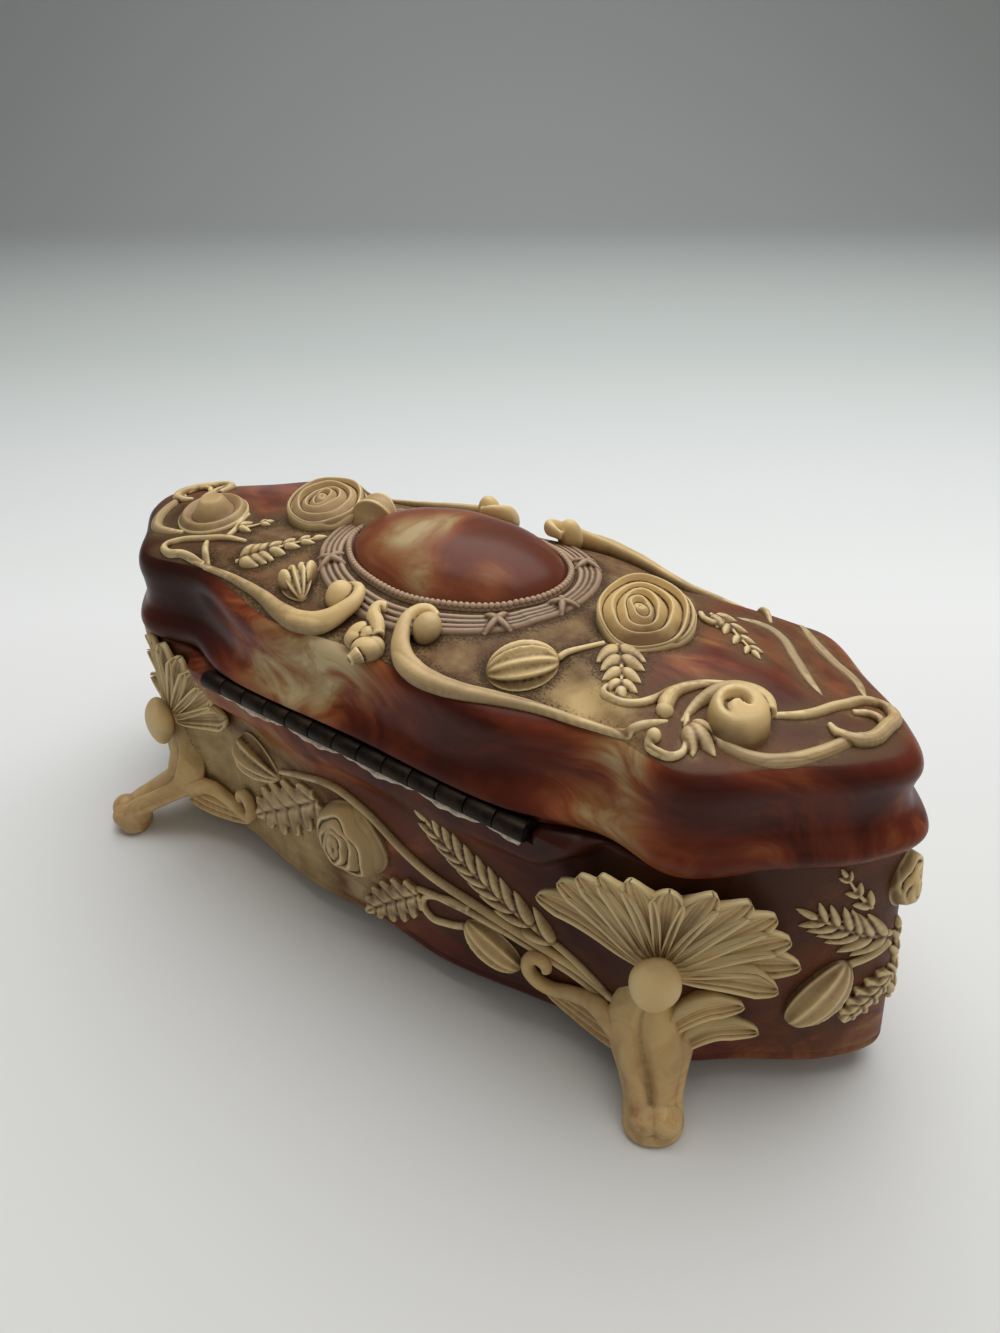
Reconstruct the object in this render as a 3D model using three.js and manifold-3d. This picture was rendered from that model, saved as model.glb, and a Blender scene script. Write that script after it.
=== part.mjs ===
import * as THREE from 'three';
import { mergeVertices } from 'three/addons/utils/BufferGeometryUtils.js';
import Module from 'manifold-3d';

// Cast-stone trinket box on four cabriole feet, with a hinged, relief-covered lid.
// Millimetres, +Z up. X runs along the box and the hinge lies on the +Y side.
// The origin is the centre of the footprint, on the table.

const wasm = await Module();
wasm.setup();

// Plan of the lid's top edge, full lengths and widths
const TOP_LENGTH = 206;
const TOP_EAR_SPAN = 150;
const TOP_EAR_WIDTH = 64.4;
const TOP_WAIST_SPAN = 108;
const TOP_WAIST_WIDTH = 59.6;
const TOP_BULGE_SPAN = 44;
const TOP_BULGE_WIDTH = 75;
const TOP_MIDDLE_WIDTH = 69.6;

// Plan of the bead at the foot of the lid
const BEAD_LENGTH = 223;
const BEAD_EAR_SPAN = 154;
const BEAD_EAR_WIDTH = 74;
const BEAD_WAIST_SPAN = 122;
const BEAD_WAIST_WIDTH = 70.4;
const BEAD_BULGE_SPAN = 84;
const BEAD_BULGE_WIDTH = 82.6;
const BEAD_MIDDLE_WIDTH = 83;

// Plan of the body's outer wall at the rim; towards the base the end walls lean out to a greater length
const BODY_LENGTH = 217;
const BASE_LENGTH = 228;
const BODY_EAR_SPAN = 150;
const BODY_EAR_WIDTH = 69;
const BODY_WAIST_SPAN = 108;
const BODY_WAIST_WIDTH = 69.4;
const BODY_BULGE_SPAN = 44;
const BODY_BULGE_WIDTH = 78.6;
const BODY_MIDDLE_WIDTH = 76;

// Between an end's apex and its ear the outline passes a shoulder and a shallow hollow
const SHOULDER_ALONG = 0.82;
const SHOULDER_ACROSS = 0.33;
const HOLLOW_ALONG = 0.45;
const HOLLOW_ACROSS = 0.645;

// Heights
const BODY_BOTTOM = 5.5;
const RIM_Z = 63.15;
const RIM_GAP = 0.3;
const LID_HEIGHT = 22.35;
const DOME_RISE = 6.2;
const DOME_POWER = 2.6;

// Walls
const WALL = 5.6;
const BODY_FLOOR = 7.5;
const LID_CROWN = 6;
const BOTTOM_ROUND = 2.6;
const LINER = 1.6;
const LINER_CLEARANCE = 0.5;

// Hinge: thirteen knuckles on a pin, two leaves let into the rims
const HINGE_LENGTH = 95;
const KNUCKLES = 13;
const KNUCKLE_RADIUS = 2.2;
const KNUCKLE_PLAY = 0.25;
const PIN_RADIUS = 0.95;
const PIN_PLAY = 0.1;
const LEAF = 0.8;
const LEAF_DEPTH = 8.6;
const HINGE_ROOM = 0.8;
const LEDGE_LENGTH = 124;
const LEDGE_DROP = 16;
const LEDGE_INSET = 0.5;

// Feet
const FAN_ROOM = 2.15;
const FAN_REACH = 22;
const FAN_LOW_REACH = 17;
const PETALS = 9;
const LOW_PETALS = 2;
const FAN_FROM = -56;
const FAN_TO = 100;
const PETAL_WIDTH = 8.4;
const PETAL_HEIGHT = 3.4;
const KNEE_RADIUS = 5.4;
const KNEE_STAND = 3.2;
const LEG_HALF_WIDTH = 9;
const LEG_HALF_DEPTH = 8;
const TOE_OUT_X = 7.2;
const TOE_OUT_Y = 10;
const TOE_RADIUS = 6.2;
const TOE_Z = 4.6;
const TOE_PRESS = 0.8;
const BRACKET_WIDTH = 7;
const BRACKET_HEIGHT = 4;
const BRACKET_REACH = 20;
const BRACKET_RISE = 17;

// Lid ornament
const SEAT = 0.3;
const STONE_LENGTH = 48.6;
const STONE_WIDTH = 43;
const STONE_CROWN = 6.4;
const RING_WIRE = 1.6;
const WREATH_END_WIDTH = 7;
const WREATH_SIDE_WIDTH = 1.9;
const WREATH_HEIGHT = 1.5;
const WREATH_REEDS = 2;
const ROSE_GAP = 2;
const LID_ROSE_RADIUS = 10.6;
const LID_ROSE_HEIGHT = 4.6;
const CURL_X = 12.3;
const CURL_RADIUS = 3.1;
const CURL_START = 9.6;
const CURL_ROOM = 1.5;
const CURL_BALL_HEIGHT = 4.6;
const SCROLL_WIDTH = 4.4;
const SCROLL_HEIGHT = 4;
const SCROLL_LOW = 1.4;
const SNAIL_GAP = 0.6;
const SNAIL_RADIUS = 6.4;
const SNAIL_HEIGHT = 6.2;
const SNAIL_LIP = 1.4;
const SNAIL_BAND = 4.4;
const END_BAND_WIDTH = 2.8;
const END_BAND_HEIGHT = 1.6;

// Lid spray: places as shares of the rose's distance along and of the waist's half width across
const SEED_POD_AT = [-0.732, 0.846];
const SEED_POD_TURN = 36;
const TULIP_AT = [0.603, 0.879];
const TULIP_TURN = 63;
const BLOSSOM_OUT = 3;
const ROSEBUD_AT = [0.816, -0.517];
const ROSEBUD_TURN = 17;
const LAUREL = [[1.038, 0.859], [0.89, 0.43]];
const ROSE_LEAF = [[-1.04, 0.409], [-1.147, 0.745]];
const SMALL_BUD = 0.8;

// Wall sprays: places as shares of the way from middle to ear and of the half height of the panel
const WALL_ROSE_AT = [-0.08, 0.226];
const WALL_BUD_AT = [-0.55, 0.466];
const WALL_BUD_TURN = -14;
const WALL_POD_AT = [0.457, -0.418];
const WALL_POD_TURN = -46;
const WALL_STEM = [[-0.318, 0.784], [-0.119, 0.866], [0.132, 0.524], [0.397, 0.101], [0.662, -0.322]];
const WHEAT = [[0.602, 0.01], [0.291, 0.88]];

// End sprays: places as shares of the way from apex to ear and of the half height of the panel
const END_ROSE_AT = [0.137, 0.88];
const END_FERN = [[-0.046, 0.85], [-0.434, 1.18]];
const END_POD_AT = [-0.343, -0.014];
const END_POD_TURN = 46;

// Pods, buds and leaves: full lengths, full widths and heights
const POD_LENGTH = 16;
const POD_WIDTH = 9;
const POD_HEIGHT = 4;
const BUD_LENGTH = 12.8;
const BUD_WIDTH = 8;
const BUD_HEIGHT = 3.4;
const LEAF_WIDTH = 6;
const LEAF_HEIGHT = 1.5;
const LEAF_LOBES = 5;
const WHEAT_WIDTH = 9;
const WHEAT_LOBES = 7;
const STEM_WIDTH = 1.8;
const STEM_HEIGHT = 1.2;

// Roses on the walls
const WALL_ROSE_RADIUS = 10;
const WALL_ROSE_HEIGHT = 4.4;
const END_ROSE_RADIUS = 7;

// Facets round the outlines, in multiples of the outline's own points
const CONTROLS = 24;
const STEPS = 3 * CONTROLS;
const INNER_STEPS = 2 * CONTROLS;

// Finishes
const MARBLE = { color: 0x6b3a29, roughness: 0.32, metalness: 0 };
const POLISHED = { color: 0x7c3f2e, roughness: 0.12, metalness: 0 };
const CREAM = { color: 0xc7b483, roughness: 0.5, metalness: 0 };
const TAN = { color: 0x9a8262, roughness: 0.6, metalness: 0 };
const BRONZE = { color: 0x2a2320, roughness: 0.45, metalness: 0.9 };
const VELVET = { color: 0x5a1c24, roughness: 0.95, metalness: 0 };

const LID_BOTTOM = RIM_Z + RIM_GAP;
const LID_EDGE = LID_BOTTOM + LID_HEIGHT;
const FLOOR_Z = BODY_BOTTOM + BODY_FLOOR;
const BASE_Z = BODY_BOTTOM + BOTTOM_ROUND;
const KNEE_Z = RIM_Z - FAN_ROOM - FAN_REACH;
const HINGE_Z = RIM_Z + RIM_GAP / 2;
const HINGE_Y = BEAD_MIDDLE_WIDTH / 2 + HINGE_ROOM / 2;

const box = new THREE.Group();
const lid = new THREE.Group();
box.add(lid);

// Serpentine outline through apexes, shoulders, hollows, ears, waists, bulges and middles
function outline(p, inset = 0) {
  const apex = p.length / 2 - inset;
  const earX = p.earSpan / 2 - inset;
  const earY = p.earWidth / 2 - inset;
  const quarter = [
    [apex, 0],
    [earX + SHOULDER_ALONG * (apex - earX), SHOULDER_ACROSS * earY],
    [earX + HOLLOW_ALONG * (apex - earX), HOLLOW_ACROSS * earY],
    [earX, earY],
    [p.waistSpan / 2, p.waistWidth / 2 - inset],
    [p.bulgeSpan / 2, p.bulgeWidth / 2 - inset],
    [0, p.middleWidth / 2 - inset],
  ];
  const back = quarter.slice(0, -1).reverse();
  const half = [...quarter, ...back.map(([x, y]) => [-x, y])];
  const other = half.slice(1, -1).reverse();
  const loop = [...half, ...other.map(([x, y]) => [x, -y])];
  const points = loop.map(([x, y]) => new THREE.Vector3(x, y, 0));
  return new THREE.CatmullRomCurve3(points, true, 'centripetal');
}

const TOP_PLAN = {
  length: TOP_LENGTH, earSpan: TOP_EAR_SPAN, earWidth: TOP_EAR_WIDTH, waistSpan: TOP_WAIST_SPAN,
  waistWidth: TOP_WAIST_WIDTH, bulgeSpan: TOP_BULGE_SPAN, bulgeWidth: TOP_BULGE_WIDTH,
  middleWidth: TOP_MIDDLE_WIDTH,
};
const BEAD_PLAN = {
  length: BEAD_LENGTH, earSpan: BEAD_EAR_SPAN, earWidth: BEAD_EAR_WIDTH, waistSpan: BEAD_WAIST_SPAN,
  waistWidth: BEAD_WAIST_WIDTH, bulgeSpan: BEAD_BULGE_SPAN, bulgeWidth: BEAD_BULGE_WIDTH,
  middleWidth: BEAD_MIDDLE_WIDTH,
};
const BODY_PLAN = {
  length: BODY_LENGTH, earSpan: BODY_EAR_SPAN, earWidth: BODY_EAR_WIDTH, waistSpan: BODY_WAIST_SPAN,
  waistWidth: BODY_WAIST_WIDTH, bulgeSpan: BODY_BULGE_SPAN, bulgeWidth: BODY_BULGE_WIDTH,
  middleWidth: BODY_MIDDLE_WIDTH,
};
const BASE_PLAN = { ...BODY_PLAN, length: BASE_LENGTH };

// One level of a loft: the outline's points at a height, shrunk about the centre
function level(curve, z, shrink = 1, steps = STEPS) {
  return Array.from({ length: steps }, (_, i) => {
    const p = curve.getPoint(i / steps);
    return new THREE.Vector3(p.x * shrink, p.y * shrink, z);
  });
}

const innerLevel = (curve, z, shrink = 1) => level(curve, z, shrink, INNER_STEPS);

// A level part of the way from one outline to another
function between(from, to, share, z) {
  const a = level(from, z);
  const b = level(to, z);
  return a.map((p, i) => p.lerp(b[i], share));
}

// Closed geometry from points and triangles, turned so that its faces point out
function closedGeometry(points, triangles) {
  let volume = 0;
  for (let i = 0; i < triangles.length; i += 3) {
    const [a, b, c] = [0, 1, 2].map((k) => points[triangles[i + k]]);
    volume += a.dot(new THREE.Vector3().crossVectors(b, c));
  }
  const order = volume < 0 ? [...triangles].reverse() : triangles;
  const geometry = new THREE.BufferGeometry().setFromPoints(points);
  geometry.setIndex(order);
  return geometry;
}

// Skin over a stack of levels, closed by a fan at each end
function loft(levels, firstCentreZ, lastCentreZ) {
  const points = levels.flat();
  const triangles = [];
  const count = levels[0].length;
  for (let i = 0; i + 1 < levels.length; i += 1) {
    for (let j = 0; j < count; j += 1) {
      const k = (j + 1) % count;
      const [a, b, c, d] = [i * count + j, i * count + k, (i + 1) * count + k, (i + 1) * count + j];
      triangles.push(a, b, c, a, c, d);
    }
  }
  const first = points.push(new THREE.Vector3(0, 0, firstCentreZ)) - 1;
  const last = points.push(new THREE.Vector3(0, 0, lastCentreZ)) - 1;
  const lastRow = (levels.length - 1) * count;
  for (let j = 0; j < count; j += 1) {
    const k = (j + 1) % count;
    triangles.push(first, k, j, last, lastRow + j, lastRow + k);
  }
  return closedGeometry(points, triangles);
}

function solid(geometry) {
  const bare = geometry.clone();
  bare.deleteAttribute('normal');
  bare.deleteAttribute('uv');
  const merged = mergeVertices(bare, 1e-4);
  const vertProperties = Float32Array.from(merged.attributes.position.array);
  const triVerts = Uint32Array.from(merged.index.array);
  return new wasm.Manifold(new wasm.Mesh({ numProp: 3, vertProperties, triVerts }));
}

function geometryOf(manifold) {
  const mesh = manifold.getMesh();
  const geometry = new THREE.BufferGeometry();
  geometry.setAttribute('position', new THREE.Float32BufferAttribute(mesh.vertProperties, mesh.numProp));
  geometry.setIndex(Array.from(mesh.triVerts));
  return geometry;
}

function block(x0, x1, y0, y1, z0, z1) {
  const geometry = new THREE.BoxGeometry(x1 - x0, y1 - y0, z1 - z0);
  geometry.translate((x0 + x1) / 2, (y0 + y1) / 2, (z0 + z1) / 2);
  return solid(geometry);
}

function rod(radius, x0, x1, sides) {
  const geometry = new THREE.CylinderGeometry(radius, radius, x1 - x0, sides);
  geometry.rotateZ(Math.PI / 2);
  geometry.translate((x0 + x1) / 2, HINGE_Y, HINGE_Z);
  return solid(geometry);
}

function place(group, name, geometry, finish) {
  const mesh = new THREE.Mesh(geometry, new THREE.MeshStandardMaterial(finish));
  mesh.name = name;
  group.add(mesh);
}

// Mirror image of a geometry, with its faces turned back out
function mirrored(geometry, signX, signY) {
  const copy = geometry.clone();
  copy.scale(signX, signY, 1);
  if (signX * signY < 0) {
    const index = Array.from(copy.index.array).reverse();
    copy.setIndex(index);
  }
  return copy;
}

const topCurve = outline(TOP_PLAN);
const beadCurve = outline(BEAD_PLAN);
const bodyCurve = outline(BODY_PLAN);
const baseCurve = outline(BASE_PLAN);
const cavityCurve = outline(BODY_PLAN, WALL);

// Body: serpentine walls on a rounded bottom edge, with the hinge ledge on the rear
const footprint = outline(BASE_PLAN, BOTTOM_ROUND);
const roundShare = 1 - Math.SQRT1_2;
const edgeRound = outline(BASE_PLAN, BOTTOM_ROUND * roundShare);
const wallLevels = [
  level(footprint, BODY_BOTTOM),
  level(edgeRound, BODY_BOTTOM + BOTTOM_ROUND * roundShare),
  level(baseCurve, BASE_Z),
  level(bodyCurve, RIM_Z),
];
const wallSolid = solid(loft(wallLevels, BODY_BOTTOM, RIM_Z));

function hingeLedge() {
  const ledgeCurve = outline(BEAD_PLAN, LEDGE_INSET);
  const column = solid(loft([level(ledgeCurve, BODY_BOTTOM), level(ledgeCurve, RIM_Z)], BODY_BOTTOM, RIM_Z));
  const lunette = new THREE.Shape();
  lunette.absellipse(0, 0, LEDGE_LENGTH / 2, LEDGE_DROP, Math.PI, 2 * Math.PI);
  lunette.closePath();
  const slab = new THREE.ExtrudeGeometry(lunette, {
    depth: BEAD_MIDDLE_WIDTH, bevelEnabled: false, curveSegments: 24,
  });
  slab.rotateX(Math.PI / 2);
  slab.translate(0, BEAD_MIDDLE_WIDTH, RIM_Z);
  return column.intersect(solid(slab));
}

const cavityLevels = [innerLevel(cavityCurve, FLOOR_Z), innerLevel(cavityCurve, LID_BOTTOM)];
const cavity = solid(loft(cavityLevels, FLOOR_Z, LID_BOTTOM));
const hingeHalf = HINGE_LENGTH / 2;
const recessHalf = hingeHalf + HINGE_ROOM;
const recessRadius = KNUCKLE_RADIUS + HINGE_ROOM;
const leafBack = HINGE_Y - LEAF_DEPTH;
const outside = HINGE_Y + BEAD_MIDDLE_WIDTH;
const rebateBack = leafBack - SEAT;
const bodyRecess = block(-recessHalf, recessHalf, HINGE_Y - recessRadius, outside,
  HINGE_Z - recessRadius, LID_BOTTOM);
const bodyRebate = block(-hingeHalf - SEAT, hingeHalf + SEAT, rebateBack, outside,
  RIM_Z - LEAF - SEAT, LID_BOTTOM);
const bodyShell = wallSolid.add(hingeLedge()).subtract(cavity).subtract(bodyRecess).subtract(bodyRebate);
place(box, 'body_shell', geometryOf(bodyShell), MARBLE);

// Velvet pad on the floor of the box
const linerCurve = outline(BODY_PLAN, WALL + LINER_CLEARANCE);
const linerZ = FLOOR_Z + SEAT;
const linerLevels = [innerLevel(linerCurve, linerZ), innerLevel(linerCurve, linerZ + LINER)];
place(box, 'floor_liner', loft(linerLevels, linerZ, linerZ + LINER), VELVET);

// Lid: ovolo, cove and bead down the skirt, a low dome on top, hollow beneath
function domeZ(share) {
  return LID_EDGE + DOME_RISE * (1 - share ** DOME_POWER);
}

// Each level of the skirt: share of the lid's height, and share of the way from edge to bead
const SKIRT = [
  [0, 0.76], [0.05, 0.95], [0.14, 1], [0.22, 0.9], [0.36, 0.52], [0.5, 0.44], [0.78, 0.55], [0.93, 0.35],
];
const DOME_STEPS = [1, 0.88, 0.68, 0.4];
const lidLevels = SKIRT.map(([up, out]) => between(topCurve, beadCurve, out, LID_BOTTOM + up * LID_HEIGHT));
DOME_STEPS.forEach((share) => lidLevels.push(level(topCurve, domeZ(share), share)));
const lidCast = solid(loft(lidLevels, LID_BOTTOM, domeZ(0)));

const HOLLOW_STEPS = [0.9, 0.5];
const hollowLevels = [innerLevel(cavityCurve, RIM_Z), innerLevel(cavityCurve, LID_BOTTOM + LID_HEIGHT / 2)];
HOLLOW_STEPS.forEach((share) => hollowLevels.push(innerLevel(cavityCurve, domeZ(share) - LID_CROWN, share)));
const lidHollow = solid(loft(hollowLevels, RIM_Z, domeZ(0) - LID_CROWN));
const lidRecess = block(-recessHalf, recessHalf, HINGE_Y - recessRadius, outside,
  RIM_Z, HINGE_Z + recessRadius);
const lidRebate = block(-hingeHalf - SEAT, hingeHalf + SEAT, rebateBack, outside,
  RIM_Z, LID_BOTTOM + LEAF + SEAT);
place(lid, 'lid_shell',
  geometryOf(lidCast.subtract(lidHollow).subtract(lidRecess).subtract(lidRebate)), MARBLE);

// Hinge leaves: a plate under the rim, knuckles at every second place, notches at the others
const PIN_SIDES = 8;
const pitch = HINGE_LENGTH / KNUCKLES;

function hingeLeaf(plateZ, parity) {
  let leaf = block(-hingeHalf, hingeHalf, leafBack, HINGE_Y, plateZ, plateZ + LEAF);
  for (let i = 0; i < KNUCKLES; i += 1) {
    const x0 = -hingeHalf + i * pitch;
    if (i % 2 === parity) {
      leaf = leaf.add(rod(KNUCKLE_RADIUS, x0 + KNUCKLE_PLAY / 2, x0 + pitch - KNUCKLE_PLAY / 2, PIN_SIDES));
    }
  }
  for (let i = 0; i < KNUCKLES; i += 1) {
    const x0 = -hingeHalf + i * pitch;
    if (i % 2 !== parity) {
      const notch = HINGE_Y - KNUCKLE_RADIUS - KNUCKLE_PLAY;
      const play = KNUCKLE_PLAY / 2;
      leaf = leaf.subtract(block(x0 - play, x0 + pitch + play, notch, outside, 0, LID_EDGE));
    }
  }
  return geometryOf(leaf.subtract(rod(PIN_RADIUS + PIN_PLAY, -HINGE_LENGTH, HINGE_LENGTH, PIN_SIDES)));
}

place(box, 'hinge_body_leaf', hingeLeaf(RIM_Z - LEAF, 0), BRONZE);
place(lid, 'hinge_lid_leaf', hingeLeaf(LID_BOTTOM, 1), BRONZE);
place(box, 'hinge_pin', geometryOf(rod(PIN_RADIUS, -hingeHalf, hingeHalf, PIN_SIDES)), BRONZE);

// Grounds that relief is laid on: a plan point and a stand-off give a point in space
const topRing = level(topCurve, 0);

function edgeRadius(angle) {
  const ray = new THREE.Vector2(Math.cos(angle), Math.sin(angle));
  for (let i = 0; i < STEPS; i += 1) {
    const a = topRing[i];
    const b = topRing[(i + 1) % STEPS];
    const turnA = ray.x * a.y - ray.y * a.x;
    const turnB = ray.x * b.y - ray.y * b.x;
    const ahead = ray.x * a.x + ray.y * a.y > 0;
    if (ahead && turnA <= 0 && turnB > 0) {
      const share = turnA / (turnA - turnB);
      return Math.hypot(a.x + share * (b.x - a.x), a.y + share * (b.y - a.y));
    }
  }
  return TOP_LENGTH / 2;
}

function onLid(x, y, h) {
  const share = Math.min(1, Math.hypot(x, y) / edgeRadius(Math.atan2(y, x)));
  return new THREE.Vector3(x, y, domeZ(share) + h);
}

// Distance round the wall to each of its corners, starting from the +X apex
const wallRing = level(bodyCurve, 0);
const baseRing = level(baseCurve, 0);
const wallStarts = [0];
wallRing.forEach((p, i) => wallStarts.push(wallStarts[i] + p.distanceTo(wallRing[(i + 1) % STEPS])));
const wallLength = wallStarts[STEPS];
const alongAt = (control) => wallStarts[(control * STEPS) / CONTROLS] - wallStarts[STEPS / 4];

// Along the wall from the middle of the rear, towards the -X end, at a height
function wallPoint(along, z) {
  const run = (along + wallStarts[STEPS / 4] + wallLength) % wallLength;
  const i = wallStarts.findIndex((start) => start > run) - 1;
  const share = (run - wallStarts[i]) / (wallStarts[i + 1] - wallStarts[i]);
  const at = (ring) => ring[i].clone().lerp(ring[(i + 1) % STEPS], share);
  const lean = THREE.MathUtils.clamp((RIM_Z - z) / (RIM_Z - BASE_Z), 0, 1);
  return at(wallRing).lerp(at(baseRing), lean);
}

const NORMAL_REACH = 2;

function onWall(along, z, h) {
  const p = wallPoint(along, z);
  const run = wallPoint(along + NORMAL_REACH, z).sub(wallPoint(along - NORMAL_REACH, z)).normalize();
  return new THREE.Vector3(p.x + run.y * h, p.y - run.x * h, z);
}

// Relief strip: rows of [a, b, height] across a path, closed underneath along its edges
function strip(rows, ground, seat) {
  const points = [];
  const triangles = [];
  const top = rows.map((row) => row.map(([a, b, h]) => points.push(ground(a, b, SEAT + h)) - 1));
  const ends = (row) => [row[0], row[row.length - 1]];
  const under = rows.map((row) => ends(row).map(([a, b]) => points.push(ground(a, b, seat)) - 1));
  const last = rows[0].length - 1;
  for (let i = 0; i + 1 < rows.length; i += 1) {
    for (let j = 0; j < last; j += 1) {
      triangles.push(top[i][j], top[i][j + 1], top[i + 1][j + 1]);
      triangles.push(top[i][j], top[i + 1][j + 1], top[i + 1][j]);
    }
    triangles.push(under[i][1], under[i][0], under[i + 1][0], under[i][1], under[i + 1][0], under[i + 1][1]);
    triangles.push(under[i][0], top[i][0], top[i + 1][0], under[i][0], top[i + 1][0], under[i + 1][0]);
    triangles.push(top[i][last], under[i][1], under[i + 1][1]);
    triangles.push(top[i][last], under[i + 1][1], top[i + 1][last]);
  }
  const closeEnd = (row, [near, far], turn) => {
    const fan = [near, ...row, far];
    for (let j = 1; j + 1 < fan.length; j += 1) {
      const [b, c] = turn ? [fan[j + 1], fan[j]] : [fan[j], fan[j + 1]];
      triangles.push(fan[0], b, c);
    }
  };
  closeEnd(top[0], under[0], true);
  closeEnd(top[rows.length - 1], under[rows.length - 1], false);
  return closedGeometry(points, triangles);
}

// Rounded band along a path: half widths and heights follow the path, profile rounds it across
const ROUND = [[-1, 0.3], [-0.62, 0.82], [0, 1], [0.62, 0.82], [1, 0.3]];
const RIDGE = [[-1, 0.45], [0, 1], [1, 0.45]];

function band(path, ground, halfWidth, height, profile = ROUND, seat = SEAT) {
  const rows = path.map((p, i) => {
    const before = path[Math.max(0, i - 1)];
    const after = path[Math.min(path.length - 1, i + 1)];
    const side = new THREE.Vector2(before.y - after.y, after.x - before.x).normalize();
    const t = i / (path.length - 1);
    return profile.map(([c, crown]) => {
      const w = halfWidth(t) * c;
      return [p.x + side.x * w, p.y + side.y * w, height(t) * crown];
    });
  });
  return strip(rows, ground, seat);
}

// Round mound built of rings: each ring gives [radius share, height share]
function mound(centre, radiusA, radiusB, turn, rings, ground, sides, ripple = () => 1, seat = SEAT) {
  const points = [];
  const triangles = [];
  const at = (share, angle) => {
    const a = radiusA * share * Math.cos(angle);
    const b = radiusB * share * Math.sin(angle);
    return [
      centre.x + a * Math.cos(turn) - b * Math.sin(turn),
      centre.y + a * Math.sin(turn) + b * Math.cos(turn),
    ];
  };
  const rows = rings.map(([share, h], row) => {
    const count = share === 0 ? 1 : sides;
    const ids = [];
    for (let j = 0; j < count; j += 1) {
      const angle = (2 * Math.PI * j) / sides;
      const [a, b] = at(share * ripple(angle, row), angle);
      ids.push(points.push(ground(a, b, seat + h)) - 1);
    }
    return ids;
  });
  const rim = [];
  for (let j = 0; j < sides; j += 1) {
    const angle = (2 * Math.PI * j) / sides;
    const [a, b] = at(rings[0][0] * ripple(angle, 0), angle);
    rim.push(points.push(ground(a, b, seat)) - 1);
  }
  const below = [points.push(ground(centre.x, centre.y, seat)) - 1];
  const join = (outer, inner) => {
    for (let j = 0; j < sides; j += 1) {
      const k = (j + 1) % sides;
      triangles.push(outer[j], outer[k], inner[k % inner.length]);
      if (inner.length > 1) triangles.push(outer[j], inner[k], inner[j]);
    }
  };
  join(rim, rows[0]);
  for (let i = 0; i + 1 < rows.length; i += 1) join(rows[i], rows[i + 1]);
  for (let j = 0; j < sides; j += 1) triangles.push(rim[(j + 1) % sides], rim[j], below[0]);
  return closedGeometry(points, triangles);
}

const ROSE_PETALS = 5;
const ROSE_TWIST = 1.3;
const ROSE_SIDES = 3 * ROSE_PETALS;
const ROSE_WAVE = 0.06;
const ROSE_STEPS = [
  [1, 0.3], [0.88, 0.64], [0.76, 0.48], [0.62, 0.86], [0.48, 0.68], [0.3, 1], [0, 0.84],
];

function rose(centre, radius, height, ground, seat = SEAT) {
  const rings = ROSE_STEPS.map(([share, h]) => [share, h * height]);
  const petals = (angle, row) => 1 + ROSE_WAVE * Math.cos(ROSE_PETALS * angle + ROSE_TWIST * row);
  return mound(centre, radius, radius, 0, rings, ground, ROSE_SIDES, petals, seat);
}

const POD_SIDES = 12;
const POD_STEPS = [[1, 0.25], [0.86, 0.68], [0.5, 0.95], [0, 1.02]];

function pod(centre, length, width, degrees, height, ground) {
  const rings = POD_STEPS.map(([share, h]) => [share, h * height]);
  const turn = THREE.MathUtils.degToRad(degrees);
  return mound(centre, length / 2, width / 2, turn, rings, ground, POD_SIDES);
}

const vec = (x, y) => new THREE.Vector2(x, y);
const smooth = (points, steps) => new THREE.SplineCurve(points).getPoints(steps);
const taper = (from, to) => (t) => from + (to - from) * t;

// Leaf: a ridge along its midrib, its edge cut into lobes
const LEAF_BASE = 0.12;
const LEAF_TIP = 0.06;
const LOBE_CUT = 0.62;

function leaf(base, tip, width, lobes, height, ground) {
  const path = new THREE.LineCurve(base, tip).getPoints(2 * lobes);
  const swell = (t) => Math.sin(Math.PI * (LEAF_BASE + (1 - LEAF_BASE - LEAF_TIP) * t));
  const edge = (t) => (width / 2) * swell(t) * (Math.round(t * 2 * lobes) % 2 ? 1 : LOBE_CUT);
  return band(path, ground, edge, (t) => (height / 2) * (1 + swell(t)), RIDGE);
}

// Cabochon in its ring, and the reeded wreath round them
const STONE_SIDES = 32;
const centreTop = domeZ(0) + SEAT;

function ovalLevels(length, width, rings) {
  const points = (share) => Array.from({ length: STONE_SIDES }, (_, j) => {
    const angle = (2 * Math.PI * j) / STONE_SIDES;
    return vec((length / 2) * share * Math.cos(angle), (width / 2) * share * Math.sin(angle));
  });
  return rings.map(([share, raise]) => points(share).map(raise));
}

const STONE_STEPS = [[0.97, 0.24], [0.86, 0.55], [0.64, 0.83], [0.34, 0.96]];
const seatAt = (p) => onLid(p.x, p.y, SEAT);
const stonePoint = (p, up) => new THREE.Vector3(p.x, p.y, centreTop + up * STONE_CROWN);
const stoneLevels = ovalLevels(STONE_LENGTH, STONE_WIDTH, [
  [0.5, seatAt],
  [1, seatAt],
  ...STONE_STEPS.map(([share, up]) => [share, (p) => stonePoint(p, up)]),
]);
place(lid, 'oval_cabochon', loft(stoneLevels, centreTop, centreTop + STONE_CROWN), POLISHED);

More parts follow.
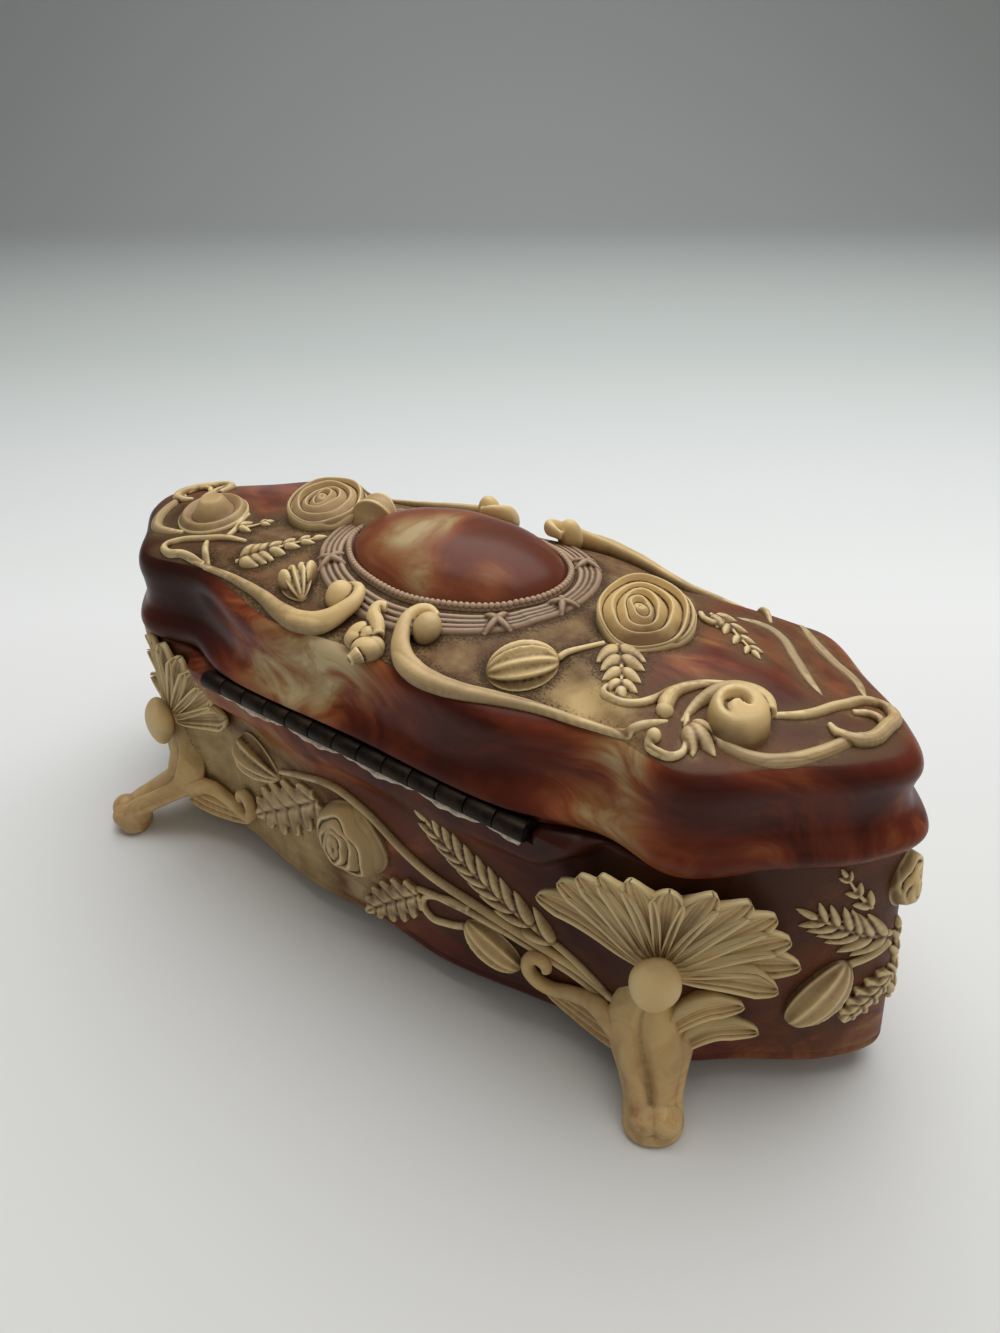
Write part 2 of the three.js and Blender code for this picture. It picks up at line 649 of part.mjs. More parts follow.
// Ring of round section laid about the stone, standing on the dome
function ellipseRing(length, width, endWide, sideWide, section) {
  const points = [];
  const triangles = [];
  const count = section.length;
  for (let i = 0; i < STONE_SIDES; i += 1) {
    const angle = (2 * Math.PI * i) / STONE_SIDES;
    section.forEach(([out, h]) => {
      const x = (length / 2 + out * endWide) * Math.cos(angle);
      const y = (width / 2 + out * sideWide) * Math.sin(angle);
      points.push(onLid(x, y, SEAT + h));
    });
  }
  for (let i = 0; i < STONE_SIDES; i += 1) {
    for (let j = 0; j < count; j += 1) {
      const [a, b] = [i * count + j, i * count + ((j + 1) % count)];
      const next = ((i + 1) % STONE_SIDES) * count;
      const [c, d] = [next + ((j + 1) % count), next + j];
      triangles.push(a, b, c, a, c, d);
    }
  }
  return closedGeometry(points, triangles);
}

const WIRE_SIDES = 5;
const wire = Array.from({ length: WIRE_SIDES }, (_, j) => {
  const angle = (2 * Math.PI * j) / WIRE_SIDES + Math.PI / WIRE_SIDES;
  return [0.5 + 0.5 * Math.cos(angle), (RING_WIRE / 2) * (1 + Math.sin(angle))];
});
const ringLength = STONE_LENGTH + 2 * SEAT;
const ringWidth = STONE_WIDTH + 2 * SEAT;
place(lid, 'beaded_ring', ellipseRing(ringLength, ringWidth, RING_WIRE, RING_WIRE, wire), TAN);

const reed = 1 / WREATH_REEDS;
const wreathSection = [[0, 0], [0, WREATH_HEIGHT / 2]];
for (let i = 0; i < WREATH_REEDS; i += 1) {
  wreathSection.push([(i + 0.5) * reed, WREATH_HEIGHT], [(i + 1) * reed, WREATH_HEIGHT / 2]);
}
wreathSection.push([1, 0]);
const wreathLength = ringLength + 2 * (RING_WIRE + SEAT);
const wreathWidth = ringWidth + 2 * (RING_WIRE + SEAT);
place(lid, 'ribbon_wreath',
  ellipseRing(wreathLength, wreathWidth, WREATH_END_WIDTH, WREATH_SIDE_WIDTH, wreathSection), TAN);

const wreathEnd = wreathLength / 2 + WREATH_END_WIDTH;
const wreathSide = wreathWidth / 2 + WREATH_SIDE_WIDTH;
const roseX = wreathEnd + ROSE_GAP + LID_ROSE_RADIUS * (1 + ROSE_WAVE);
for (const [side, sign] of [['left', -1], ['right', 1]]) {
  place(lid, `lid_rose_${side}`, rose(vec(sign * roseX, 0), LID_ROSE_RADIUS, LID_ROSE_HEIGHT, onLid), CREAM);
}

// Border scrolls: from the waist along the edge to the bulge, then into a curl round a ball
const CURL_FIRST = 68;
const CURL_TURN = 215;
const CURL_STEPS = 6;
const EDGE_FROM = 3.75;
const EDGE_TO = 5.1;
const EDGE_STEPS = 6;
const SCROLL_TAIL = 0.4;
const wreathY = wreathSide * Math.sqrt(1 - (CURL_X / wreathEnd) ** 2);
const curlY = wreathY + CURL_ROOM + CURL_RADIUS + (SCROLL_WIDTH / 2) * SCROLL_TAIL;
const curlDecay = Math.log(CURL_START / CURL_RADIUS) / CURL_TURN;

function scroll() {
  const path = [];
  for (let i = 0; i <= EDGE_STEPS; i += 1) {
    const p = topCurve.getPoint((EDGE_FROM + ((EDGE_TO - EDGE_FROM) * i) / EDGE_STEPS) / CONTROLS);
    path.push(vec(p.x, p.y));
  }
  for (let i = 0; i <= CURL_STEPS; i += 1) {
    const turned = (CURL_TURN * i) / CURL_STEPS;
    const r = CURL_START * Math.exp(-curlDecay * turned);
    const angle = THREE.MathUtils.degToRad(CURL_FIRST + turned);
    path.push(vec(CURL_X + r * Math.cos(angle), curlY + r * Math.sin(angle)));
  }
  const swell = (t) => (SCROLL_WIDTH / 2) * (SCROLL_TAIL + (1 - SCROLL_TAIL) * Math.sin(Math.PI * t));
  const lift = taper(SCROLL_LOW, SCROLL_HEIGHT);
  const ribbon = solid(band(path, onLid, swell, lift));
  const heart = pod(vec(CURL_X, curlY), 2 * CURL_RADIUS, 2 * CURL_RADIUS, 0, CURL_BALL_HEIGHT, onLid);
  return geometryOf(ribbon.add(solid(heart)));
}

const rearRight = scroll();
place(lid, 'scroll_rear_right', rearRight, CREAM);
place(lid, 'scroll_rear_left', mirrored(rearRight, -1, 1), CREAM);
place(lid, 'scroll_front_right', mirrored(rearRight, 1, -1), CREAM);
place(lid, 'scroll_front_left', mirrored(rearRight, -1, -1), CREAM);

// Snail scrolls near the ends and the bands that run from them along the edge to the apex
const SNAIL_FIRST = 200;
const SNAIL_TURN = 420;
const SNAIL_STEPS = 11;
const SNAIL_OPEN = 1.55;
const SNAIL_CLOSE = 0.5;
const SNAIL_HEART = 0.9;
const SNAIL_BESIDE = 1.5;
const END_FROM = 0.25;
const END_TO = 2.4;
const END_STEPS = 8;
const endPath = Array.from({ length: END_STEPS + 1 }, (_, i) => {
  const p = topCurve.getPoint((END_FROM + ((END_TO - END_FROM) * i) / END_STEPS) / CONTROLS);
  return vec(p.x - END_BAND_WIDTH / 2, p.y - END_BAND_WIDTH / 4);
});

// The snail lies beside the band, as near as its outer lip and the gap let it
const snailY = topCurve.getPoint(SNAIL_BESIDE / CONTROLS).y;
const snailRoom = SNAIL_OPEN * SNAIL_RADIUS + SNAIL_LIP / 2 + SNAIL_GAP + END_BAND_WIDTH / 2;
const clearX = ({ x, y }) => x - Math.sqrt(Math.max(0, snailRoom ** 2 - (y - snailY) ** 2));
const snailX = Math.min(...endPath.map(clearX));

function snail() {
  const path = [];
  for (let i = 0; i <= SNAIL_STEPS; i += 1) {
    const t = i / SNAIL_STEPS;
    const r = SNAIL_RADIUS * (SNAIL_OPEN + (SNAIL_CLOSE - SNAIL_OPEN) * t);
    const angle = THREE.MathUtils.degToRad(SNAIL_FIRST - SNAIL_TURN * t);
    path.push(vec(snailX + r * Math.cos(angle), snailY + r * Math.sin(angle)));
  }
  const coil = solid(band(path, onLid, taper(SNAIL_LIP / 2, SNAIL_BAND / 2), taper(SNAIL_LIP, SNAIL_HEIGHT)));
  const across = 2 * SNAIL_HEART * SNAIL_RADIUS;
  const heart = pod(vec(snailX, snailY), across, across, 0, SNAIL_HEIGHT, onLid);
  return geometryOf(coil.add(solid(heart)));
}

const endSwell = (t) => (END_BAND_WIDTH / 4) * (1 + Math.sin(Math.PI * t));

const snailRight = snail();
place(lid, 'snail_right', snailRight, CREAM);
place(lid, 'snail_left', mirrored(snailRight, -1, 1), CREAM);
const bandRight = band(endPath, onLid, endSwell, () => END_BAND_HEIGHT);
place(lid, 'end_scroll_right', bandRight, CREAM);
place(lid, 'end_scroll_left', mirrored(bandRight, -1, 1), CREAM);

// Seed pod, buds and blossom among the scrolls, and the leaves beside the roses
const waistY = TOP_WAIST_WIDTH / 2;
const onTop = ([along, across]) => vec(along * roseX, across * waistY);
const smallBud = SMALL_BUD * BUD_LENGTH;
const lidSpray = {
  seed_pod: pod(onTop(SEED_POD_AT), POD_LENGTH, POD_WIDTH, SEED_POD_TURN, POD_HEIGHT, onLid),
  tulip_bud: pod(onTop(TULIP_AT), BUD_LENGTH, BUD_WIDTH, TULIP_TURN, BUD_HEIGHT, onLid),
  blossom: pod(vec(0, curlY + BLOSSOM_OUT), SMALL_BUD * BUD_WIDTH, smallBud, 0, BUD_HEIGHT, onLid),
  rosebud: pod(onTop(ROSEBUD_AT), smallBud, BUD_WIDTH, ROSEBUD_TURN, BUD_HEIGHT, onLid),
  laurel_leaf: leaf(...LAUREL.map(onTop), LEAF_WIDTH, LEAF_LOBES, LEAF_HEIGHT, onLid),
  rose_leaf: leaf(...ROSE_LEAF.map(onTop), LEAF_WIDTH, LEAF_LOBES, LEAF_HEIGHT, onLid),
};
for (const [name, geometry] of Object.entries(lidSpray)) place(lid, name, geometry, CREAM);

// Foot: a fan of petals and a knee boss on the corner of the wall, a leg and a toe below
const EAR_ALONG = alongAt(9);
const APEX_ALONG = alongAt(12);
const SUNK = -4;

// Along a petal: share of its reach, share of its width
const PETAL = [[0.12, 0.4], [0.8, 1], [1, 0.26]];

function petal(degrees, reach) {
  const angle = THREE.MathUtils.degToRad(degrees);
  const ray = (r) => vec(EAR_ALONG + r * Math.sin(angle), KNEE_Z + r * Math.cos(angle));
  const path = PETAL.map(([share]) => ray(reach * share));
  const halfWidth = (t) => (PETAL_WIDTH / 2) * PETAL[Math.round(t * (PETAL.length - 1))][1];
  return solid(band(path, onWall, halfWidth, () => PETAL_HEIGHT, RIDGE, SUNK));
}

// Tube of oval section along a path in space
function limb(stations, sides) {
  const levels = stations.map(({ at, wide, deep, facing }) => {
    const across = new THREE.Vector3(-facing.y, facing.x, 0);
    return Array.from({ length: sides }, (_, j) => {
      const angle = (2 * Math.PI * j) / sides;
      return at.clone()
        .addScaledVector(across, wide * Math.cos(angle))
        .addScaledVector(facing, deep * Math.sin(angle));
    });
  });
  const points = levels.flat();
  const triangles = [];
  for (let i = 0; i + 1 < levels.length; i += 1) {
    for (let j = 0; j < sides; j += 1) {
      const k = (j + 1) % sides;
      const [a, b, c, d] = [i * sides + j, i * sides + k, (i + 1) * sides + k, (i + 1) * sides + j];
      triangles.push(a, b, c, a, c, d);
    }
  }
  const first = points.push(stations[0].at.clone()) - 1;
  const last = points.push(stations[stations.length - 1].at.clone()) - 1;
  const row = (levels.length - 1) * sides;
  for (let j = 0; j < sides; j += 1) {
    const k = (j + 1) % sides;
    triangles.push(first, k, j, last, row + j, row + k);
  }
  return closedGeometry(points, triangles);
}

const BALL_SIDES = 8;

function ball(centre, rx, ry, rz) {
  const geometry = new THREE.SphereGeometry(1, BALL_SIDES, BALL_SIDES / 2);
  geometry.rotateX(Math.PI / 2);
  geometry.scale(rx, ry, rz);
  geometry.translate(centre.x, centre.y, centre.z);
  return solid(geometry);
}

// Scrolled bracket that spreads from the leg along the wall, to one side
function bracket(side) {
  const low = TOE_Z + LEG_HALF_DEPTH;
  const path = smooth([
    vec(EAR_ALONG, low),
    vec(EAR_ALONG + side * BRACKET_REACH * 0.4, low + BRACKET_RISE * 0.25),
    vec(EAR_ALONG + side * BRACKET_REACH * 0.75, low + BRACKET_RISE * 0.6),
    vec(EAR_ALONG + side * BRACKET_REACH, low + BRACKET_RISE),
  ], 4);
  const halfWidth = taper(BRACKET_WIDTH / 2, BRACKET_WIDTH / 4);
  return solid(band(path, onWall, halfWidth, taper(BRACKET_HEIGHT, BRACKET_HEIGHT / 2), RIDGE, SUNK));
}

// Down the leg: share of the fall from knee to toe, share of the toe's reach, shares of its half sizes
const LEG = [
  { down: 0, out: -0.3, wide: 0.55, deep: 0.62 },
  { down: 0.28, out: -0.2, wide: 0.8, deep: 0.78 },
  { down: 0.54, out: -0.1, wide: 1, deep: 0.86 },
  { down: 0.76, out: 0.16, wide: 0.93, deep: 0.86 },
  { down: 0.9, out: 0.56, wide: 0.78, deep: 0.68 },
  { down: 1, out: 0.92, wide: 0.69, deep: 0.57 },
];
const LEG_SIDES = 8;

function foot() {
  const fan = [];
  for (let i = 0; i < PETALS; i += 1) {
    const degrees = FAN_FROM + ((FAN_TO - FAN_FROM) * i) / (PETALS - 1);
    fan.push(petal(degrees, i < PETALS - LOW_PETALS ? FAN_REACH : FAN_LOW_REACH));
  }
  const ear = onWall(EAR_ALONG, 0, 0);
  const toe = new THREE.Vector3(ear.x - TOE_OUT_X, ear.y + TOE_OUT_Y, TOE_Z);
  const facing = new THREE.Vector3(-TOE_OUT_X, TOE_OUT_Y, 0).normalize();
  const leg = limb(LEG.map(({ down, out, wide, deep }) => ({
    at: new THREE.Vector3(ear.x - TOE_OUT_X * out, ear.y + TOE_OUT_Y * out, KNEE_Z + (TOE_Z - KNEE_Z) * down),
    wide: LEG_HALF_WIDTH * wide,
    deep: LEG_HALF_DEPTH * deep,
    facing,
  })), LEG_SIDES);
  const knee = onWall(EAR_ALONG, KNEE_Z, KNEE_STAND);
  const whole = [
    ...fan, solid(leg), bracket(-1), bracket(1),
    ball(knee, KNEE_RADIUS, KNEE_RADIUS, KNEE_RADIUS),
    ball(toe, TOE_RADIUS, TOE_RADIUS, TOE_Z + TOE_PRESS),
  ].reduce((sum, part) => sum.add(part));
  const skinLow = BODY_BOTTOM - SEAT;
  const skinLevel = (z) => wallRing.map((_, i) => onWall(wallStarts[i] - wallStarts[STEPS / 4], z, SEAT));
  const skin = solid(loft([skinLevel(skinLow), skinLevel(RIM_Z)], skinLow, RIM_Z));
  const table = block(-BODY_LENGTH, BODY_LENGTH, -BODY_LENGTH, BODY_LENGTH, -BODY_LENGTH, 0);
  return geometryOf(whole.subtract(skin).subtract(table));
}

const footRearLeft = foot();
place(box, 'foot_rear_left', footRearLeft, CREAM);
place(box, 'foot_rear_right', mirrored(footRearLeft, -1, 1), CREAM);
place(box, 'foot_front_left', mirrored(footRearLeft, 1, -1), CREAM);
place(box, 'foot_front_right', mirrored(footRearLeft, -1, -1), CREAM);

// Sprays on the long walls, below the ledge: a rose, a bud, a pod, a stem and an ear of wheat
const panelHalf = (RIM_Z - LEDGE_DROP - BODY_BOTTOM) / 2;
const panelZ = BODY_BOTTOM + panelHalf;
const onPanel = ([along, up]) => vec(along * EAR_ALONG, panelZ + up * panelHalf);
const STEM_STEPS = 12;
const stemPath = smooth(WALL_STEM.map(onPanel), STEM_STEPS);
const spray = {
  rose: rose(onPanel(WALL_ROSE_AT), WALL_ROSE_RADIUS, WALL_ROSE_HEIGHT, onWall),
  bud: pod(onPanel(WALL_BUD_AT), BUD_LENGTH, BUD_WIDTH, WALL_BUD_TURN, BUD_HEIGHT, onWall),
  pod: pod(onPanel(WALL_POD_AT), POD_LENGTH, POD_WIDTH, WALL_POD_TURN, POD_HEIGHT, onWall),
  stem: band(stemPath, onWall, () => STEM_WIDTH / 2, () => STEM_HEIGHT, RIDGE),
  wheat: leaf(...WHEAT.map(onPanel), WHEAT_WIDTH, WHEAT_LOBES, LEAF_HEIGHT, onWall),
};
for (const [side, turn] of [['rear', 0], ['front', Math.PI]]) {
  for (const [what, geometry] of Object.entries(spray)) {
    place(box, `${side}_${what}`, geometry.clone().rotateZ(turn), CREAM);
  }
}

// Sprays on the ends: a rose near the apex, a fern leaf and a pod
const endReach = APEX_ALONG - EAR_ALONG;
const onEnd = ([along, up]) => vec(APEX_ALONG + along * endReach, panelZ + up * panelHalf);
const endSpray = {
  rose: rose(onEnd(END_ROSE_AT), END_ROSE_RADIUS, WALL_ROSE_HEIGHT, onWall, 2 * SEAT),
  fern: leaf(...END_FERN.map(onEnd), WHEAT_WIDTH, LEAF_LOBES, LEAF_HEIGHT, onWall),
  pod: pod(onEnd(END_POD_AT), POD_LENGTH, POD_WIDTH, END_POD_TURN, POD_HEIGHT, onWall),
};
for (const [side, turn] of [['left', 0], ['right', Math.PI]]) {
  for (const [what, geometry] of Object.entries(endSpray)) {
    place(box, `${side}_end_${what}`, geometry.clone().rotateZ(turn), CREAM);
  }
}

export default box;
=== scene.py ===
# %% [markdown]
# A trinket box of cast stone: a serpentine body on four palmette feet, and a domed lid that swings on a
# long strip hinge. The CAD frame gives the sizes, the joints and a plain solid for every piece. Here each
# solid is replaced by a finer mesh that stays in its place, and gets the finish that the real one has.

# %% Load the frame
import math

import bpy
import numpy as np
from mathutils import Matrix, Vector
from mathutils.kdtree import KDTree


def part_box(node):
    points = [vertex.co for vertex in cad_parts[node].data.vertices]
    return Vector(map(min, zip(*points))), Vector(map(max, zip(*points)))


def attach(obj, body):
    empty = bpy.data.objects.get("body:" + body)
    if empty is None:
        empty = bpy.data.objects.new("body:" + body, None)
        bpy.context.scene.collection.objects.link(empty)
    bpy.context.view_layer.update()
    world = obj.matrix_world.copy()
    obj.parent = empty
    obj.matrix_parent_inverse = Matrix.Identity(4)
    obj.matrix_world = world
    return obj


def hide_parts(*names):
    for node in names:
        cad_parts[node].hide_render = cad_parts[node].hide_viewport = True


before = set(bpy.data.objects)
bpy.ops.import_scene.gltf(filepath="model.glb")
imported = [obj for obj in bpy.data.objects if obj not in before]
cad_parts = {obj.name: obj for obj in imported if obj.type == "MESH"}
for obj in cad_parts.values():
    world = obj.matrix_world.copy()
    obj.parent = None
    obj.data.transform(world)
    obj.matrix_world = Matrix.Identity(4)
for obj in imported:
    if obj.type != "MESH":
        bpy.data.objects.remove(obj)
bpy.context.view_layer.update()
MM = 0.001

# %% [markdown]
# The camera stands where the photograph was taken, a little above the rear left corner. Its place and its
# three angles were found by fitting the symmetric outline of the lid, the toes and the hinge. The lens
# follows from a focal length of 1000 pixels on the long side of the picture, which Blender calls 36 mm.
# Here and later a primitive is added with nothing else selected, so that no step touches an older piece.

# %% Camera
CAMERA_PLACE = Vector((-130.3, 163.8, 197.3)) * MM
CAMERA_YAW, CAMERA_PITCH, CAMERA_ROLL = 2.5097, 0.5729, -0.0062
FOCAL_PIXELS = 1000
PICTURE_HEIGHT = 1333
SENSOR = 36
CLIP_START = 0.01


def fresh(primitive, **settings):
    """Add a primitive with nothing else selected."""
    bpy.ops.object.select_all(action="DESELECT")
    primitive(**settings)
    return bpy.context.object


forward = Vector((
    math.cos(CAMERA_PITCH) * math.sin(CAMERA_YAW),
    math.cos(CAMERA_PITCH) * math.cos(CAMERA_YAW),
    -math.sin(CAMERA_PITCH),
))
right = forward.cross(Vector((0, 0, 1))).normalized()
right = Matrix.Rotation(-CAMERA_ROLL, 3, forward) @ right
up = right.cross(forward)
camera = fresh(bpy.ops.object.camera_add)
camera.matrix_world = Matrix.Translation(CAMERA_PLACE) @ Matrix((right, up, -forward)).transposed().to_4x4()
camera.data.sensor_width = SENSOR
camera.data.lens = SENSOR * FOCAL_PIXELS / PICTURE_HEIGHT
camera.data.clip_start = CLIP_START
bpy.context.scene.camera = camera
print("lens in mm:", round(camera.data.lens, 2))

# %% [markdown]
# Colours are written as sRGB hex values, as a paint card would give them, and one function turns them to
# the linear values that shaders work in. One more function adds a shader node, sets it and links it. The
# short ones after it wrap the nodes that come up again and again, so that a material reads as a list of
# what it is made of. Pattern sizes are given in millimetres.

# %% Colour and node helpers
def colour(code):
    srgb = [int(code[i:i + 2], 16) / 255 for i in (1, 3, 5)]
    return [c / 12.92 if c <= 0.04045 else ((c + 0.055) / 1.055) ** 2.4 for c in srgb] + [1]


def per(size):
    """Texture scale at which one feature is this many millimetres long."""
    return 1 / (size * MM)


def add(tree, kind, inputs=None, stops=(), **settings):
    """Add a node: settings are its own choices, inputs its sockets, stops the colours of a ramp."""
    made = tree.nodes.new("ShaderNode" + kind)
    for name, value in settings.items():
        setattr(made, name, value)
    for name, value in (inputs or {}).items():
        if isinstance(value, bpy.types.NodeSocket):
            tree.links.new(value, made.inputs[name])
        else:
            made.inputs[name].default_value = value
    for i, (place, code) in enumerate(stops):
        while len(made.color_ramp.elements) <= i:
            made.color_ramp.elements.new(1)
        made.color_ramp.elements[i].position = place
        made.color_ramp.elements[i].color = colour(code)
    return made


def new_material(name):
    """Empty material, its node tree, and the place on the object that its patterns follow."""
    made = bpy.data.materials.new(name)
    made.use_nodes = True
    made.node_tree.nodes.clear()
    return made, made.node_tree, add(made.node_tree, "TexCoord").outputs["Object"]


def noise(tree, place, size, detail=2, rough=0.5, warp=0.0):
    """Cloudy noise whose features are this many millimetres long."""
    return add(tree, "TexNoise", {
        "Vector": place, "Scale": per(size), "Detail": detail, "Roughness": rough, "Distortion": warp,
    }).outputs["Fac"]


def remap(tree, value, low, high, to_low=0.0, to_high=1.0):
    """Take a value from one range to another and hold it at the ends."""
    return add(tree, "MapRange", {
        "Value": value, "From Min": low, "From Max": high, "To Min": to_low, "To Max": to_high}).outputs[0]


def work_out(tree, operation, *values, **settings):
    return add(tree, "Math", dict(enumerate(values)), operation=operation, **settings).outputs[0]


def blend(tree, share, first, second):
    """Colour that goes from the first to the second with the share."""
    return add(tree, "Mix", {0: share, 6: first, 7: second}, data_type="RGBA").outputs[2]


def tones(tree, share, stops):
    return add(tree, "ValToRGB", {"Fac": share}, stops=stops).outputs[0]


def mark(tree, name):
    """Value that the mesh carries at its points."""
    return add(tree, "Attribute", attribute_name=name).outputs["Fac"]


def bump(tree, height, strength, depth, over=None):
    """Fine relief in the shading, its depth in millimetres, on top of another one if that is given."""
    inputs = {"Height": height, "Strength": strength, "Distance": depth * MM}
    if over is not None:
        inputs["Normal"] = over
    return add(tree, "Bump", inputs).outputs[0]


def surface(tree, inputs):
    shader = add(tree, "BsdfPrincipled", inputs)
    add(tree, "OutputMaterial", {"Surface": shader.outputs[0]})


print("cream reads as", [round(c, 3) for c in colour("#c8b47a")[:3]])

# %% [markdown]
# The studio is a pale sheet that runs flat under the box and then curves up behind it, as a photographer's
# paper sweep does. It starts as a plane, whose far edge is extruded up in small steps round an arc.

# %% Studio sweep
SWEEP_SIZE = 4
SWEEP_FAR = 0.75
SWEEP_BEND = 0.35
SWEEP_WALL = 2.2
SWEEP_STEPS = 12

sweep = fresh(
    bpy.ops.mesh.primitive_plane_add, size=SWEEP_SIZE, location=(0, SWEEP_SIZE / 2 - SWEEP_FAR, 0))
sweep.name = "paper_sweep"
bpy.ops.object.mode_set(mode="EDIT")
bpy.ops.mesh.select_all(action="DESELECT")
bpy.ops.object.mode_set(mode="OBJECT")
for edge in sweep.data.edges:
    edge.select = all(sweep.data.vertices[i].co.y < 0 for i in edge.vertices)
bpy.ops.object.mode_set(mode="EDIT")
bpy.ops.mesh.select_mode(type="EDGE")
for i in range(SWEEP_STEPS):
    turn = math.pi / 2 * (i + 0.5) / SWEEP_STEPS
    step = SWEEP_BEND * math.pi / 2 / SWEEP_STEPS
    bpy.ops.mesh.extrude_edges_move(
        TRANSFORM_OT_translate={"value": (0, -step * math.cos(turn), step * math.sin(turn))})
bpy.ops.mesh.extrude_edges_move(TRANSFORM_OT_translate={"value": (0, 0, SWEEP_WALL)})
bpy.ops.mesh.select_all(action="SELECT")
bpy.ops.mesh.normals_make_consistent(inside=False)
bpy.ops.object.mode_set(mode="OBJECT")
bpy.ops.object.shade_smooth()
# The camera looks to +X and -Y, so the sweep is turned until its wall faces it
sweep.rotation_euler.z = math.pi - CAMERA_YAW
bpy.ops.object.transform_apply(location=True, rotation=True, scale=True)

print("sweep faces:", len(sweep.data.polygons))

# %% [markdown]
# Paper has no gloss, so it shows nothing but its tone and the shadows. The way the light falls off is
# painted
# into its colour: brightest right behind the box and grey further back, as a ramp over the distance away
# from the camera.

# %% Background paper
PAPER_NEAR, PAPER_FAR = -0.3, 1.1
PAPER_PAINTED_FALLOFF = [(0.0, "#d6d6d3"), (0.31, "#e4e6e6"), (0.58, "#bcc2c0"), (0.95, "#a0a4a3")]
away = Vector((math.sin(CAMERA_YAW), math.cos(CAMERA_YAW), 0))
# Matt paper: dull from every side, with the painted fall-off of light as its colour
paper, tree, place = new_material("matt background paper")
depth = add(tree, "VectorMath", {0: place, 1: away}, operation="DOT_PRODUCT").outputs["Value"]
share = remap(tree, depth, PAPER_NEAR, PAPER_FAR)
surface(tree, {"Base Color": tones(tree, share, PAPER_PAINTED_FALLOFF), "Roughness": 0.85})
sweep.data.materials.append(paper)
print("paper tones:", len(PAPER_PAINTED_FALLOFF))

# %% [markdown]
# The light is one wide soft lamp above and behind the box, which gives soft shadows towards the camera, a
# weaker and warmer one from the camera's side, and an even grey sky. Both lamps look at the box.

# %% Lights and sky
SKY_TONE, SKY_POWER = "#e6e4e0", 0.26


def soft_lamp(name, place, size, power, tint="#ffffff"):
    lamp = fresh(bpy.ops.object.light_add, type="AREA", location=place)
    lamp.name = name
    lamp.data.size = size
    lamp.data.energy = power
    lamp.data.color = colour(tint)[:3]
    lamp.rotation_euler = (-Vector(place)).to_track_quat("-Z", "Y").to_euler()


soft_lamp("key_lamp", (0.06, -0.34, 1.0), 1.2, 13.5)
soft_lamp("fill_lamp", (-0.9, 0.5, 0.8), 1.0, 1.15, "#fff0dc")
world = bpy.data.worlds.new("grey sky")
bpy.context.scene.world = world
world.use_nodes = True
world.node_tree.nodes["Background"].inputs["Color"].default_value = colour(SKY_TONE)
world.node_tree.nodes["Background"].inputs["Strength"].default_value = SKY_POWER
bpy.context.scene.view_settings.view_transform = "Standard"

# %% [markdown]
# The plan of the box is one closed curve that swells at the middle of each long side, draws in at a waist,
# stands out at the corner ears and runs to a blunt point at each end. Seven points on each quarter, from
# real widths and spans, and a smooth curve through them give it. Four such plans make the box: the lid's
# top edge, the bead round the lid's foot, and the body's wall at its rim and at its longer base.

# %% Serpentine plans
def smooth_through(points, steps, closed=False):
    """Centripetal Catmull-Rom curve through points: steps places on each stretch."""
    points = np.asarray(points, float)
    if closed:
        knots = np.concatenate([points[-1:], points, points[:2]])
    else:
        knots = np.concatenate([2 * points[:1] - points[1:2], points, 2 * points[-1:] - points[-2:-1]])
    t = (np.arange(steps) / steps)[:, None]
    run = []
    for a, b, c, d in zip(knots, knots[1:], knots[2:], knots[3:]):
        ab, bc, cd = (np.linalg.norm(q - p) ** 0.5 for p, q in ((a, b), (b, c), (c, d)))
        leave = ((b - a) / ab - (c - a) / (ab + bc) + (c - b) / bc) * bc
        reach = ((c - b) / bc - (d - b) / (bc + cd) + (d - c) / cd) * bc
        run.append(b + leave * t + (3 * (c - b) - 2 * leave - reach) * t ** 2
                   + (2 * (b - c) + leave + reach) * t ** 3)
    return np.concatenate(run if closed else run + [points[-1:]])


SHOULDER = (0.82, 0.33)
HOLLOW = (0.45, 0.645)
RING_STEPS = 20


def serpentine(length, ear, waist, bulge, middle, inset=0.0):
    """Closed plan from its length, its (span, width) at ear, waist and bulge, and its middle width."""
    apex = length / 2 - inset
    ear_x, ear_y = ear[0] / 2 - inset, ear[1] / 2 - inset
    quarter = [
        (apex, 0),
        (ear_x + SHOULDER[0] * (apex - ear_x), SHOULDER[1] * ear_y),
        (ear_x + HOLLOW[0] * (apex - ear_x), HOLLOW[1] * ear_y),
        (ear_x, ear_y),
        (waist[0] / 2, waist[1] / 2 - inset),
        (bulge[0] / 2, bulge[1] / 2 - inset),
        (0, middle / 2 - inset),
    ]
    half = quarter + [(-x, y) for x, y in quarter[-2::-1]]
    return smooth_through(half + [(x, -y) for x, y in half[-2:0:-1]], RING_STEPS, closed=True)


TOP_PLAN = (206, (150, 64.4), (108, 59.6), (44, 75), 69.6)
BEAD_PLAN = (223, (154, 74), (122, 70.4), (84, 82.6), 83)
BODY_PLAN = (217, (150, 69), (108, 69.4), (44, 78.6), 76)
BASE_PLAN = (228, *BODY_PLAN[1:])
top_ring, bead_ring, body_ring, base_ring = (
    serpentine(*plan) for plan in (TOP_PLAN, BEAD_PLAN, BODY_PLAN, BASE_PLAN))
AROUND = len(top_ring)
REAR_MIDDLE = AROUND // 4
print("points round each plan:", AROUND)

# %% [markdown]
# Ornament is easiest to model flat, as on a modeller's board, and to bend onto the box afterwards, as a
# potter lays a sprig on a pot. Two grounds do the bending: one takes a board point to the domed top of the
# lid, the other takes it round the wall of the body. The board is in millimetres: two places and a height.
# The lid's edge is not level: it lies a few millimetres lower to the front than over the hinge.

